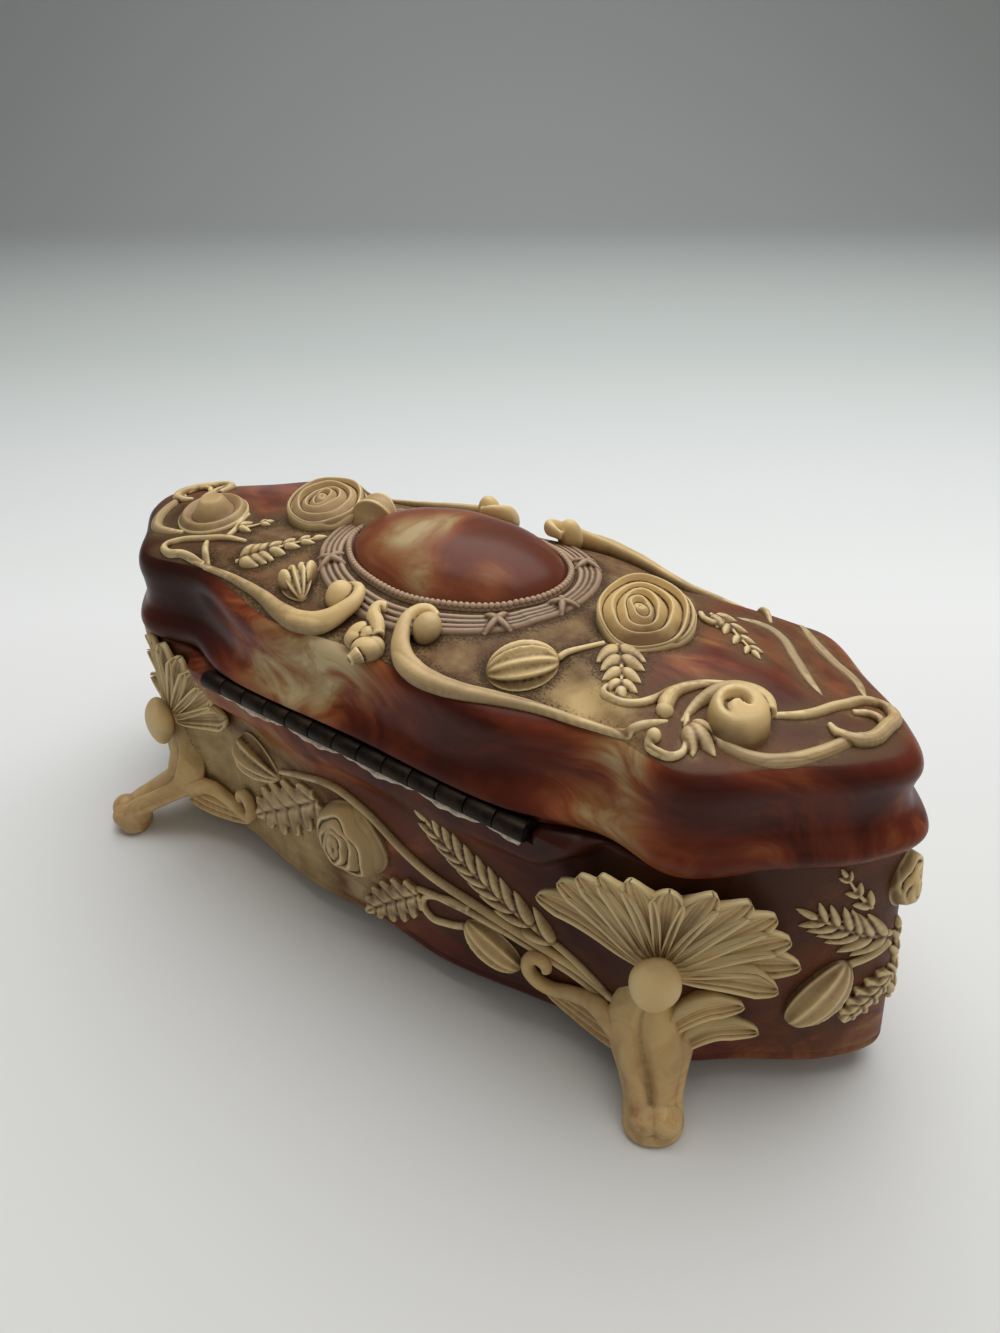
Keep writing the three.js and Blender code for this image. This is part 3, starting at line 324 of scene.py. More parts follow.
# %% Grounds for the relief
RIM_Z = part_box("body_shell")[1].z / MM
LID_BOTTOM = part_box("lid_shell")[0].z / MM
DOME_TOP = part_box("lid_shell")[1].z / MM
DOME_RISE = 6.2
DOME_POWER = 2.6
LID_EDGE = DOME_TOP - DOME_RISE
BODY_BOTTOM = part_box("body_shell")[0].z / MM
BOTTOM_ROUND = 2.6
BASE_Z = BODY_BOTTOM + BOTTOM_ROUND
FRONT_DROP = 3.2
DROP_FROM, DROP_TO = -25, 15


def soft_step(value, low, high):
    t = np.clip((value - low) / (high - low), 0, 1)
    return t * t * (3 - 2 * t)


def front_drop(y):
    """How far the lid's edge lies below its height over the hinge."""
    return FRONT_DROP * soft_step(-y, DROP_FROM, DROP_TO)


edge_angle = np.arctan2(top_ring[:, 1], top_ring[:, 0])
edge_order = np.argsort(edge_angle)
edge_radius = np.hypot(*top_ring.T)


def dome(x, y):
    """Height of the lid's top over a place in its plan."""
    reach = np.interp(np.arctan2(y, x), edge_angle[edge_order], edge_radius[edge_order], period=2 * math.pi)
    share = np.minimum(1, np.hypot(x, y) / reach)
    return DOME_TOP - (DOME_RISE + front_drop(y)) * share ** DOME_POWER


def on_lid(board):
    x, y, h = board.T
    return np.stack([x, y, dome(x, y) + h], axis=1)


wall_step = np.linalg.norm(np.roll(body_ring, -1, axis=0) - body_ring, axis=1)
wall_start = np.concatenate([[0], np.cumsum(wall_step)])
WALL_LENGTH = wall_start[-1]
wall_run = np.roll(body_ring, -1, axis=0) - np.roll(body_ring, 1, axis=0)
wall_run /= np.linalg.norm(wall_run, axis=1)[:, None]
wall_out = np.stack([wall_run[:, 1], -wall_run[:, 0]], axis=1)


def round_wall(values, along):
    """Read values, one for each wall point, at distances along the wall from the middle of the rear."""
    place = np.mod(along + wall_start[REAR_MIDDLE], WALL_LENGTH)
    closed = np.concatenate([values, values[:1]])
    return np.stack([np.interp(place, wall_start, column) for column in closed.T], axis=1)


def lean(z):
    """Share of the way from the wall's plan at the rim to its plan at the base."""
    return np.clip((RIM_Z - z) / (RIM_Z - BASE_Z), 0, 1)


def on_wall(board, start=0.0):
    along, z, h = board.T
    place = round_wall(body_ring, along + start)
    place += (round_wall(base_ring, along + start) - place) * lean(z)[:, None]
    out = round_wall(wall_out, along + start)
    return np.column_stack([place + out * h[:, None], z])


# Counted in control points round the plan, the rear left ear is the ninth and the left apex the twelfth
EAR_ALONG = wall_start[9 * RING_STEPS] - wall_start[REAR_MIDDLE]
APEX_ALONG = wall_start[12 * RING_STEPS] - wall_start[REAR_MIDDLE]
print("wall run, ear and apex in mm:", [round(run, 1) for run in (WALL_LENGTH, EAR_ALONG, APEX_ALONG)])

# %% [markdown]
# A few modelling habits serve every piece. A shell is a grid primitive whose points are moved so that it
# bends round into rings, with its seam and its two poles merged. A tube is a Bezier curve with a round
# bevel, turned to a mesh. Pieces that were cast in one pour are joined, skinned by a voxel remesh and
# smoothed, which gives the soft inner corners of a casting.

# %% Modelling helpers
def alone(obj):
    bpy.ops.object.select_all(action="DESELECT")
    obj.select_set(True)
    bpy.context.view_layer.objects.active = obj
    return obj


def points_of(obj):
    flat = np.empty(3 * len(obj.data.vertices), np.float32)
    obj.data.vertices.foreach_get("co", flat)
    return flat.reshape(-1, 3).astype(float)


def move_points(obj, points):
    obj.data.vertices.foreach_set("co", np.asarray(points, np.float32).ravel())
    obj.data.update()
    return obj


def weld(obj, distance=1e-4):
    alone(obj)
    bpy.ops.object.mode_set(mode="EDIT")
    bpy.ops.mesh.select_all(action="SELECT")
    bpy.ops.mesh.remove_doubles(threshold=distance)
    bpy.ops.mesh.normals_make_consistent(inside=False)
    bpy.ops.object.mode_set(mode="OBJECT")
    return obj


def shell(rows):
    """Grid primitive bent into a closed shell: each row is a ring, the first and last rows are poles."""
    rows = np.asarray(rows, float)
    count, around = rows.shape[:2]
    obj = fresh(
        bpy.ops.mesh.primitive_grid_add, x_subdivisions=around, y_subdivisions=count - 1, size=1)
    move_points(obj, np.concatenate([rows, rows[:, :1]], axis=1).reshape(-1, 3))
    return weld(obj)


def tube(points, radii, closed=False, sides=4, steps=8):
    """Round bevel along a Bezier curve through (u, v, h) points, with its own radius at each of them."""
    curve = fresh(bpy.ops.curve.primitive_bezier_curve_add).data
    curve.dimensions = "3D"
    curve.bevel_depth = 1
    curve.bevel_resolution = sides
    curve.use_fill_caps = True
    spline = curve.splines[0]
    spline.bezier_points.add(len(points) - 2)
    spline.use_cyclic_u = closed
    spline.resolution_u = steps
    spline.radius_interpolation = "CARDINAL"
    radii = np.interp(np.linspace(0, 1, len(points)), np.linspace(0, 1, len(radii)), radii)
    for knot, point, radius in zip(spline.bezier_points, points, radii):
        knot.co = point
        knot.radius = radius
    for knot in spline.bezier_points:
        knot.handle_left_type = "AUTO"
        knot.handle_right_type = "AUTO"
    bpy.ops.object.convert(target="MESH")
    return weld(bpy.context.object, 1e-3)


def ball(centre, half, turn=0.0, shape=None, segments=32, rings=16):
    """Sphere primitive, shaped by a function of its unit points, stretched, turned and placed."""
    obj = fresh(bpy.ops.mesh.primitive_uv_sphere_add, segments=segments, ring_count=rings, radius=1)
    points = points_of(obj)
    if shape:
        points = shape(points)
    points = points * np.asarray(half, float)
    x, y, z = points.T
    c, s = math.cos(turn), math.sin(turn)
    return move_points(obj, np.column_stack([c * x - s * y, s * x + c * y, z]) + np.asarray(centre, float))


def apply_modifier(obj, kind, **settings):
    alone(obj)
    modifier = obj.modifiers.new(kind.lower(), kind)
    for name, value in settings.items():
        setattr(modifier, name, value)
    bpy.ops.object.modifier_apply(modifier=modifier.name)
    return obj


def join(parts):
    alone(parts[0])
    for part in parts:
        part.select_set(True)
    bpy.ops.object.join()
    return bpy.context.object


def fuse(parts, voxel=0.3, soft=3):
    """One casting from several closed shapes: joined, skinned and smoothed a little."""
    obj = join(parts)
    apply_modifier(obj, "REMESH", mode="VOXEL", voxel_size=voxel, use_smooth_shade=True)
    return apply_modifier(obj, "SMOOTH", factor=0.5, iterations=soft)


print("helpers ready")

# %% [markdown]
# Age and light both show by shape. Dirt settles in hollows and hands polish what stands proud, and the
# ornament's colour also carries painted shade in hollows and near the ground, and painted highlights on
# edges and high places. So each mesh carries two values at its points, which the materials read. One is the
# height over the ground, from the board. The other is how hollow the surface is, from how far a point lies
# below the mean of its neighbours.

# %% Marks that age and painted light follow
def set_mark(obj, name, values):
    """Give each point of a mesh its value, or one value to all of them."""
    attribute = obj.data.attributes.get(name) or obj.data.attributes.new(name, "FLOAT", "POINT")
    values = np.zeros(len(obj.data.vertices)) + values
    attribute.data.foreach_set("value", values.astype(np.float32))


HOLLOW_SPREAD = 3


def mark_hollows(obj):
    """Curvature of the surface in 1/mm, spread a little: above 0 in grooves, below 0 on edges."""
    mesh = obj.data
    points = points_of(obj) / MM
    normals = np.empty(3 * len(points), np.float32)
    mesh.vertices.foreach_get("normal", normals)
    ends = np.empty(2 * len(mesh.edges), np.int32)
    mesh.edges.foreach_get("vertices", ends)
    a, b = ends.reshape(-1, 2).T
    count = np.maximum(1, np.bincount(ends, minlength=len(points)))

    def neighbours(values):
        total = np.bincount(a, values[b], len(points)) + np.bincount(b, values[a], len(points))
        return total / count

    step = np.mean(np.linalg.norm(points[a] - points[b], axis=1))
    mean = np.stack([neighbours(column) for column in points.T], axis=1)
    bend = 2 * ((mean - points) * normals.reshape(-1, 3)).sum(axis=1) / step ** 2
    for _ in range(HOLLOW_SPREAD):
        bend = 0.5 * bend + 0.5 * neighbours(bend)
    set_mark(obj, "hollow", bend)


def lay(obj, ground, share=1.0):
    """Take a board piece to its ground, in metres, keeping its heights, or a share of them, as a mark."""
    board = points_of(obj)
    set_mark(obj, "rise", board[:, 2] * share)
    return move_points(obj, ground(board) * MM)


def copy_of(obj, name, scale=(1, 1, 1)):
    """Copy with a mesh of its own, mirrored or turned by signs, its faces outward again."""
    made = obj.copy()
    made.data = obj.data.copy()
    made.name = name
    bpy.context.scene.collection.objects.link(made)
    move_points(made, points_of(made) * scale)
    if np.prod(scale) < 0:
        alone(made)
        bpy.ops.object.mode_set(mode="EDIT")
        bpy.ops.mesh.select_all(action="SELECT")
        bpy.ops.mesh.flip_normals()
        bpy.ops.object.mode_set(mode="OBJECT")
    return made


made_pieces = []


def dress(obj, name, body, finish, slot, *nodes):
    """Name a finished piece, shade it, finish it, and hang it on its body in place of its nodes."""
    obj.name = name
    obj.data.name = name
    alone(obj)
    bpy.ops.object.shade_smooth()
    mark_hollows(obj)
    obj.data.materials.clear()
    obj.data.materials.append(finish)
    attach(obj, body)
    if nodes:
        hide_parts(*nodes)
    made_pieces.append(obj)
    return obj


print("marks ready")

# %% [markdown]
# The castings are marbled cast stone: resin and stone flour poured in several colours that swirl together
# before they set, then waxed. Cream, orange-brown and dark red lie in long drawn-out clouds with soft
# edges. The clouds are stretched noise, warped by a coarser noise, and read through a ramp of the colours.
# Marks on the mesh shift the ramp where the pour ran pale or dark, lay a tan film, and add dark grit with
# painted shade beside the relief.

# %% Marbled cast stone
CLOUD = 34
CLOUD_STRETCH = (0.45, 1.0, 1.2)
SWIRL = 70
VEIN = 15
BLOTCH = 6
LUMPS = 7
GRIT = 0.6
VEIL_TONE = "#6c4534"
FILM_TONE, BANK_TONE, GRIT_AND_SHADE_TONE = "#644d33", "#ccb07a", "#3e2d1b"
MARBLE_STOPS = [
    (0.0, "#280a06"), (0.2, "#45150b"), (0.36, "#672a17"), (0.5, "#8f4d2c"),
    (0.62, "#a06f45"), (0.76, "#b4966a"), (0.95, "#d0bb8e"),
]


def marbled_stone(name, rough, middle, spread, veil):
    """Marbled pour: waxed roughness, middle and spread on the ramp, and share of a brown veil over it."""
    finish, tree, place = new_material(name)
    drift = add(tree, "TexNoise", {"Vector": place, "Scale": per(SWIRL), "Detail": 2})
    shift = add(tree, "VectorMath", {0: drift.outputs["Color"], 1: (0.5, 0.5, 0.5)}, operation="SUBTRACT")
    pull = add(tree, "VectorMath", {0: shift.outputs[0], "Scale": SWIRL * MM}, operation="SCALE")
    drawn = add(tree, "VectorMath", {0: place, 1: pull.outputs[0]}, operation="ADD")
    stretched = add(tree, "Mapping", {"Vector": drawn.outputs[0], "Scale": CLOUD_STRETCH}).outputs[0]
    cloud = noise(tree, stretched, CLOUD, 4, 0.54, 1.0)
    vein = noise(tree, stretched, VEIN, 4, 0.6, 1.5)
    broad = remap(tree, cloud, 0.25, 0.75, middle - spread, middle + spread)
    fine = remap(tree, vein, 0.3, 0.7, -0.4 * spread, 0.4 * spread)
    mixed = work_out(tree, "ADD", broad, fine)
    # The veins tear the edge of each pale or dark pour into streaks
    streak = remap(tree, vein, 0.34, 0.66, 0.4, 1.6)
    shifted = work_out(tree, "MULTIPLY_ADD", mark(tree, "pour"), streak, mixed)
    swirls = blend(tree, veil, tones(tree, shifted, MARBLE_STOPS), colour(VEIL_TONE))
    # The tan film: its strength is the mark up to 1, and it turns to cream as the mark goes on to 2
    dust = mark(tree, "dust")
    paler = work_out(tree, "ADD", dust, noise(tree, place, BLOTCH, 3, 0.6))
    film_colour = blend(tree, remap(tree, paler, 1.3, 2.3), colour(FILM_TONE), colour(BANK_TONE))
    film = remap(tree, dust, 0, 1, 0, 0.9)
    toned = blend(tree, film, swirls, film_colour)
    # Dark grit and painted shade: grains that show where the mark lifts them over a limit, nearly solid
    # beside the relief
    grains = noise(tree, place, GRIT, 2, 0.7)
    grit_and_shade = mark(tree, "grit_and_shade")
    grit_specks_and_shade = remap(tree, work_out(tree, "MULTIPLY_ADD", grit_and_shade, 0.42, grains), 0.66, 0.9, 0, 0.85)
    waves = bump(tree, noise(tree, place, LUMPS), 0.06, 0.6)
    surface(tree, {
        "Base Color": blend(tree, grit_specks_and_shade, toned, colour(GRIT_AND_SHADE_TONE)),
        "Roughness": remap(tree, film, 0, 1, rough, 0.6),
        "Normal": bump(tree, work_out(tree, "MULTIPLY", grit_and_shade, grains), 0.8, 0.4, waves),
        "IOR": 1.5, "Specular IOR Level": 0.15})
    return finish


# Wax leaves the swirls a satin gloss. The stone in the middle is buffed, so its lights are a little sharper
marbled = marbled_stone("marbled cast stone, waxed", 0.34, 0.37, 0.28, 0.08)
polished = marbled_stone("marbled cast stone, polished", 0.3, 0.42, 0.17, 0.36)
print("stone finishes:", marbled.name, "and", polished.name)

# %% [markdown]
# The ornament is a paler pour of the same stone, left unmarbled. Its colour is partly age and partly painted
# light: ivory where hands have rubbed it, with painted light on its high places and a painted highlight on
# its edges, and tan with old dirt and painted shade where it meets the ground and in its grooves. The dirt
# and the shade follow the marks for height and hollow, broken up by noise, so that no edge of them looks
# drawn.

# %% Ivory cast stone
STAIN = 14
HAZE = 38
HAZE_TONE = "#93795c"
SPECK = 1.1
RUST_VEIN = 7
RUST_TONE = "#a4682f"


def ivory_stone(name, proud, low, groove, edge, rough=0.46):
    """Pale pour: colours where it stands proud with painted light, near the ground and in its grooves with
    painted shade, and on rubbed edges with a painted highlight.
    """
    finish, tree, place = new_material(name)
    speck = noise(tree, place, SPECK, 2, 0.7)
    # Painted light and shade, partly wear: high places lean to the pale colour, parts near the ground to the
    # dark one
    height = remap(tree, mark(tree, "rise"), 0.1, 3.6, 0.34, -0.3)
    mottle = work_out(tree, "ADD", noise(tree, place, STAIN, 4, 0.6), height)
    body = blend(tree, remap(tree, mottle, 0.33, 0.72), colour(proud), colour(low))
    # Broad greyish clouds, where the ground's pour mixed into the pale one
    mixed = remap(tree, noise(tree, place, HAZE), 0.45, 0.65, 0, 0.55)
    body = blend(tree, mixed, body, colour(HAZE_TONE))
    hollow = mark(tree, "hollow")
    # Painted highlight, partly rubbed wear: convex edges turn to the paler edge colour
    edge_wear_and_highlight = blend(tree, remap(tree, hollow, -0.1, -0.8, 0, 0.75), body, colour(edge))
    # Painted shade, partly old dirt: grooves turn to the dark groove colour, broken up by specks
    broken = remap(tree, speck, 0.3, 0.7, 0.6, 1.3)
    dirt_and_shade = work_out(tree, "MULTIPLY", remap(tree, hollow, 0.06, 0.6), broken, use_clamp=True)
    toned = blend(tree, dirt_and_shade, edge_wear_and_highlight, colour(groove))
    # Rust-coloured stains, where the mark for them says so
    veins = noise(tree, place, RUST_VEIN, 4, 0.65, 1.2)
    rusty = work_out(tree, "MULTIPLY", mark(tree, "rust"), remap(tree, veins, 0.44, 0.66, 0, 0.7))
    surface(tree, {
        "Base Color": blend(tree, rusty, toned, colour(RUST_TONE)), "Roughness": rough,
        "Normal": bump(tree, speck, 0.18, 0.25), "IOR": 1.5, "Specular IOR Level": 0.35,
        "Subsurface Weight": 0.12, "Subsurface Radius": (1.0, 0.6, 0.35), "Subsurface Scale": 1.5 * MM})
    return finish


# Rubbed ivory is pale and satin, with painted light on its high places. What no hand reaches stays tan and
# dull
ivory = ivory_stone("ivory cast stone, rubbed, painted light and shade", "#d6b67c", "#82633c", "#38240f", "#eed8a4")
tan = ivory_stone("tan cast stone, unrubbed, painted light and shade", "#9f8666", "#765c40", "#3a2817", "#bba088", 0.55)
print("ornament finishes:", ivory.name, "and", tan.name)

# %% [markdown]
# The lid is one casting. Its section runs from the hollow underneath, over the flat foot that meets the
# body, round the fat bead, into a cove, out again to a swelling under the top edge, and over the low dome.
# A revolve would give this on a round plan. Here the rings between two serpentine plans do the same work,
# so one shell holds the whole section, inside and out.

# %% Lid casting
LID_HEIGHT = LID_EDGE - LID_BOTTOM
WALL = 5.6
LID_CROWN = 6
# Up the skirt: share of its height, share of the way from the top edge's plan out to the bead's plan
SKIRT = [
    (0.0, 0.72), (0.02, 0.85), (0.06, 0.95), (0.13, 1.0), (0.2, 0.93), (0.27, 0.74), (0.36, 0.53),
    (0.48, 0.44), (0.63, 0.47), (0.78, 0.55), (0.87, 0.5), (0.94, 0.35), (0.985, 0.14), (1.0, 0.02),
]
SKIRT_STEPS = 4
DOME_RINGS = 80
DOME_EDGE = 0.985

skirt = smooth_through(SKIRT, SKIRT_STEPS)
cavity_ring = serpentine(*BODY_PLAN, inset=WALL)


def flat_ring(ring, z, share=1.0):
    return np.column_stack([ring * share, np.full(len(ring), z)])


def dome_ring(share):
    x, y = (top_ring * share).T
    return np.column_stack([x, y, dome(x, y)])


def skirt_ring(up, out):
    ring = top_ring + (bead_ring - top_ring) * out
    return np.column_stack([ring, LID_BOTTOM + (LID_HEIGHT - front_drop(ring[:, 1])) * up])


def hollow_ring(share):
    return flat_ring(cavity_ring, LID_EDGE + DOME_RISE * (1 - share ** DOME_POWER) - LID_CROWN, share)


lid_rows = [hollow_ring(share) for share in (0, 0.3, 0.6, 0.85, 0.96)]
lid_rows += [flat_ring(cavity_ring, LID_BOTTOM + LID_HEIGHT * share) for share in (0.55, 0.25, 0.03)]
lid_rows += [flat_ring(serpentine(*BODY_PLAN, inset=WALL - 0.6), LID_BOTTOM)]
lid_rows += [skirt_ring(up, out) for up, out in skirt]
lid_rows += [dome_ring(share) for share in np.linspace(DOME_EDGE, 0, DOME_RINGS)]
lid_cast = shell(lid_rows)
print("lid casting points:", len(lid_cast.data.vertices))

# %% [markdown]
# The strip hinge lies in a slot that was milled into the lid's foot and into the rim of the body. A cube
# primitive, stretched to the size of the slot, is taken away with a Boolean modifier.

# %% Hinge slots
HINGE_LOW, HINGE_HIGH = (np.array(corner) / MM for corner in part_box("hinge_pin"))
HINGE_HALF = HINGE_HIGH[0]
HINGE_Y = (HINGE_LOW[1] + HINGE_HIGH[1]) / 2
HINGE_Z = (HINGE_LOW[2] + HINGE_HIGH[2]) / 2
HINGE_ROOM = 0.8
KNUCKLE_RADIUS = 2.2
LEAF = 0.8
LEAF_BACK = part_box("hinge_body_leaf")[0].y / MM
SEAT = 0.3
SLOT_OUT = 60


def block(low, high):
    """Cube primitive stretched between two corners."""
    made = fresh(bpy.ops.mesh.primitive_cube_add, size=1)
    low, high = np.array(low, float), np.array(high, float)
    return move_points(made, points_of(made) * (high - low) + (low + high) / 2)


def cut_box(obj, low, high):
    """Take a block between two corners away from a casting."""
    tool = block(low, high)
    apply_modifier(obj, "BOOLEAN", object=tool, operation="DIFFERENCE", solver="EXACT")
    bpy.data.objects.remove(tool)


slot_half = HINGE_HALF + HINGE_ROOM
slot_back = HINGE_Y - KNUCKLE_RADIUS - HINGE_ROOM
slot_depth = KNUCKLE_RADIUS + HINGE_ROOM
leaf_half = HINGE_HALF + SEAT
cut_box(lid_cast, (-slot_half, slot_back, RIM_Z - 1), (slot_half, SLOT_OUT, HINGE_Z + slot_depth))
leaf_back = LEAF_BACK - SEAT
cut_box(lid_cast, (-leaf_half, leaf_back, RIM_Z - 1), (leaf_half, SLOT_OUT, LID_BOTTOM + LEAF + SEAT))
print("lid casting after the slot:", len(lid_cast.data.vertices))

# %% [markdown]
# The body is cast the same way: one shell from the floor of the box up the inside, over the rim and down
# the serpentine wall to the rounded bottom edge. Under the hinge the wall swells into a ledge, which is a
# move of the wall's own points, so it blends as a casting does. A fine groove runs above the bottom edge.

# %% Body casting
FLOOR_Z = BODY_BOTTOM + 7.5
LEDGE_LOW = RIM_Z - 15
LEDGE_OUT = HINGE_Y - 0.6
LEDGE_HALF, LEDGE_WIDER = 49, 10
GROOVE_Z = BODY_BOTTOM + 3.4
GROOVE = 0.45
WALL_LEVELS = 70


def ledge(ring, z):
    """Wall ring at height z, drawn out to the hinge line over the middle of the rear."""
    moved = ring.copy()
    half = LEDGE_HALF + LEDGE_WIDER * soft_step(z, LEDGE_LOW + 2, RIM_Z)
    share = soft_step(z, LEDGE_LOW, LEDGE_LOW + 8) * soft_step(-np.abs(ring[:, 0]), -half - 3, -half + 4)
    rear = ring[:, 1] > 0
    moved[rear, 1] += (np.maximum(ring[rear, 1], LEDGE_OUT) - ring[rear, 1]) * share[rear]
    return moved


body_rows = [flat_ring(cavity_ring, FLOOR_Z, share) for share in (0, 0.5, 0.97)]
body_rows += [flat_ring(cavity_ring, z) for z in np.linspace(FLOOR_Z + 1.2, RIM_Z - 0.5, 12)]
body_rows += [flat_ring(serpentine(*BODY_PLAN, inset=WALL - 0.5), RIM_Z)]
body_rows += [flat_ring(ledge(serpentine(*BODY_PLAN, inset=0.5), RIM_Z), RIM_Z)]
for z in np.linspace(RIM_Z - 0.5, BASE_Z, WALL_LEVELS):
    dent = GROOVE * np.exp(-((z - GROOVE_Z) / 0.45) ** 2)
    ring = body_ring + (base_ring - body_ring) * lean(z)
    body_rows.append(flat_ring(ledge(ring, z) - wall_out * dent, z))
for turn in np.linspace(0, math.pi / 2, 6)[1:]:
    inset = BOTTOM_ROUND * (1 - math.cos(turn))
    z = BODY_BOTTOM + BOTTOM_ROUND * (1 - math.sin(turn))
    body_rows.append(flat_ring(serpentine(*BASE_PLAN, inset=inset), z))
body_rows += [flat_ring(base_ring, BODY_BOTTOM, share) for share in (0.5, 0)]
body_cast = shell(body_rows)
cut_box(body_cast, (-slot_half, slot_back, HINGE_Z - slot_depth), (slot_half, SLOT_OUT, RIM_Z + 1))
cut_box(body_cast, (-leaf_half, leaf_back, RIM_Z - LEAF - SEAT), (leaf_half, SLOT_OUT, RIM_Z + 1))
print("body casting points:", len(body_cast.data.vertices))

# %% [markdown]
# The polished oval in the middle of the lid is a cabochon, a stone with steep sides and a rounded crown.
# It is a sphere primitive stretched over its oval, with its underside pressed flat onto the dome. Round it
# runs a string of beads on a wire. They are set at equal steps along the oval, measured on a fine polyline.

# %% Cabochon and its beaded ring
STONE_MIDDLE = np.array([2.0, -0.4])
STONE_HALF = np.array([27.6, 19.8])
STONE_CROWN = 8.2
CROWN_POWER = 2.6
BEADS = 118
BEAD_RADIUS = 0.78
RING_OUT = 1.0
WIRE_RADIUS = 0.62
RING_RISE = 2.4


def on_oval(middle, half, t, h):
    """Board point on an oval, at height h."""
    return (middle[0] + half[0] * math.cos(t), middle[1] + half[1] * math.sin(t), h)


def crown(points):
    """Unit sphere as a cabochon: full at the edge, its lower half pressed flat."""
    reach = np.minimum(1, np.hypot(points[:, 0], points[:, 1]))
    height = np.where(points[:, 2] > 0, (1 - reach ** CROWN_POWER) ** 0.62, -0.12)
    return np.column_stack([points[:, :2], height])


cabochon = ball((*STONE_MIDDLE, 0), (*STONE_HALF, STONE_CROWN), shape=crown, segments=128, rings=64)
lay(cabochon, on_lid)

ring_half = STONE_HALF + RING_OUT
seat_turns = np.linspace(0, 2 * math.pi, 73)[:-1]
ring_path = [on_oval(STONE_MIDDLE, ring_half, t, 0.1) for t in seat_turns]
ring_parts = [tube(ring_path, [WIRE_RADIUS], closed=True, sides=2, steps=3)]
arc_turns = np.linspace(0, 2 * math.pi, 2001)
arc = np.concatenate([[0], np.cumsum(np.hypot(*np.diff(
    ring_half[:, None] * (np.cos(arc_turns), np.sin(arc_turns)), axis=1)))])
for run in np.linspace(0, arc[-1], BEADS + 1)[:-1]:
    t = np.interp(run, arc, arc_turns)
    centre = on_oval(STONE_MIDDLE, ring_half, t, 1.0)
    ring_parts.append(ball(centre, (BEAD_RADIUS,) * 3, segments=10, rings=6))
beaded_ring = lay(join(ring_parts), on_lid)
set_mark(beaded_ring, "rise", RING_RISE)
print("beads round the stone:", BEADS)

# %% [markdown]
# Round the ring lies a wreath of bound reeds: four low half-round strands that spread apart towards the
# ends of the oval, tied at six places by crossed ribbons. Each strand is a closed curve with a round bevel.

# %% Ribbon wreath
WREATH_REEDS = ((30.6, 23.6, 0.75), (31.8, 25.2, 0.7), (33.0, 26.9, 0.7), (34.2, 28.6, 0.85))
WREATH_MIDDLE = (1.6, 0.0)
WREATH_TIES = (40, 138, 170, 220, 318, 350)
TIE_LEAN = 7
# Over the reeds from the inner one to the outer one: share of the way, height
TIE_ARCH = ((-0.25, -0.2), (0.1, 0.8), (0.5, 1.15), (0.9, 0.8), (1.25, -0.2))
TIE_RADII = [0.5, 0.8, 0.9, 0.8, 0.5]

wreath_parts = []
for *half, thick in WREATH_REEDS:
    path = [on_oval(WREATH_MIDDLE, half, t, 0.0) for t in seat_turns]
    wreath_parts.append(tube(path, [thick], closed=True, sides=3, steps=3))
inner, outer = np.array(WREATH_REEDS[0][:2]), np.array(WREATH_REEDS[-1][:2])
for degrees in WREATH_TIES:
    for tilt in (-TIE_LEAN, TIE_LEAN):
        path = [on_oval(WREATH_MIDDLE, inner + (outer - inner) * share,
                        math.radians(degrees + tilt * (share - 0.5)), h) for share, h in TIE_ARCH]
        wreath_parts.append(tube(path, TIE_RADII, sides=3))
ribbon_wreath = lay(fuse(wreath_parts, 0.25, 2), on_lid)
print("wreath points:", len(ribbon_wreath.data.vertices))

# %% [markdown]
# A cast rose is a low drum whose petals show as lips, one round the other. On the board it is a height over
# a disc: the face leans towards the hinge side, and each lip is a rounded ridge, steep on its inside and
# easy on its outside. Where two lips meet, the higher one shows. The bud is oval and sits a little to one
# side, and a last petal lies out to the other.

# %% Roses
ROSE_AROUND = 180
ROSE_RINGS = 110
SUNK = -0.9
ROSE_TILT = 0.32
ROSE_FACES = math.radians(116)
LIP_ROUND = 0.45
# Tall pieces count only a share of their heights, so the dark tone near the ground, dirt and painted shade,
# climbs higher up their sides
TALL_SHARE = 0.6
# Lips from the bud outwards: share of the radius, oval, drop below the face, slope inside and outside
ROSE_LIPS = (
    (0.08, 0.3, 0.0, 0.4, 1.2), (0.22, 0.26, 0.0, 2.2, 1.2), (0.41, 0.16, 0.2, 2.4, 1.1),
    (0.66, 0.05, 0.4, 2.6, 1.0), (0.93, 0.03, 0.8, 2.4, 2.6), (0.9, 0.02, 1.8, 1.4, 2.6),
)
PETAL_ROUND = 0.4
BUD_SHIFT = (0.05, 0.09)
LAST_PETAL = math.radians(216)
LAST_REACH = 0.17


def boss(centre, rim, rise, around=ROSE_AROUND, rings=ROSE_RINGS):
    """Relief as a height over a disc: rim(angle) is its outline, rise(radius, angle) its upper face."""
    angle = np.linspace(0, 2 * math.pi, around, endpoint=False)[None, :]
    share = np.linspace(0, 1, rings)[:, None]
    radius = share * rim(angle)
    u, v = radius * np.cos(angle), radius * np.sin(angle)
    rows = np.stack([u, v, rise(radius, angle + 0 * share)], axis=2)
    under = np.stack([u[-1:], v[-1:], np.full_like(u[-1:], SUNK)], axis=2)
    rows = np.concatenate([rows, under, under * (0, 0, 1)])
    return shell(rows + np.append(np.asarray(centre, float), 0))


def lip(distance, inside, outside, rounding=LIP_ROUND):
    """Fall from a petal's lip: distance is below 0 on its inside."""
    return -(np.sqrt(distance ** 2 + rounding ** 2) - rounding) * np.where(distance < 0, inside, outside)


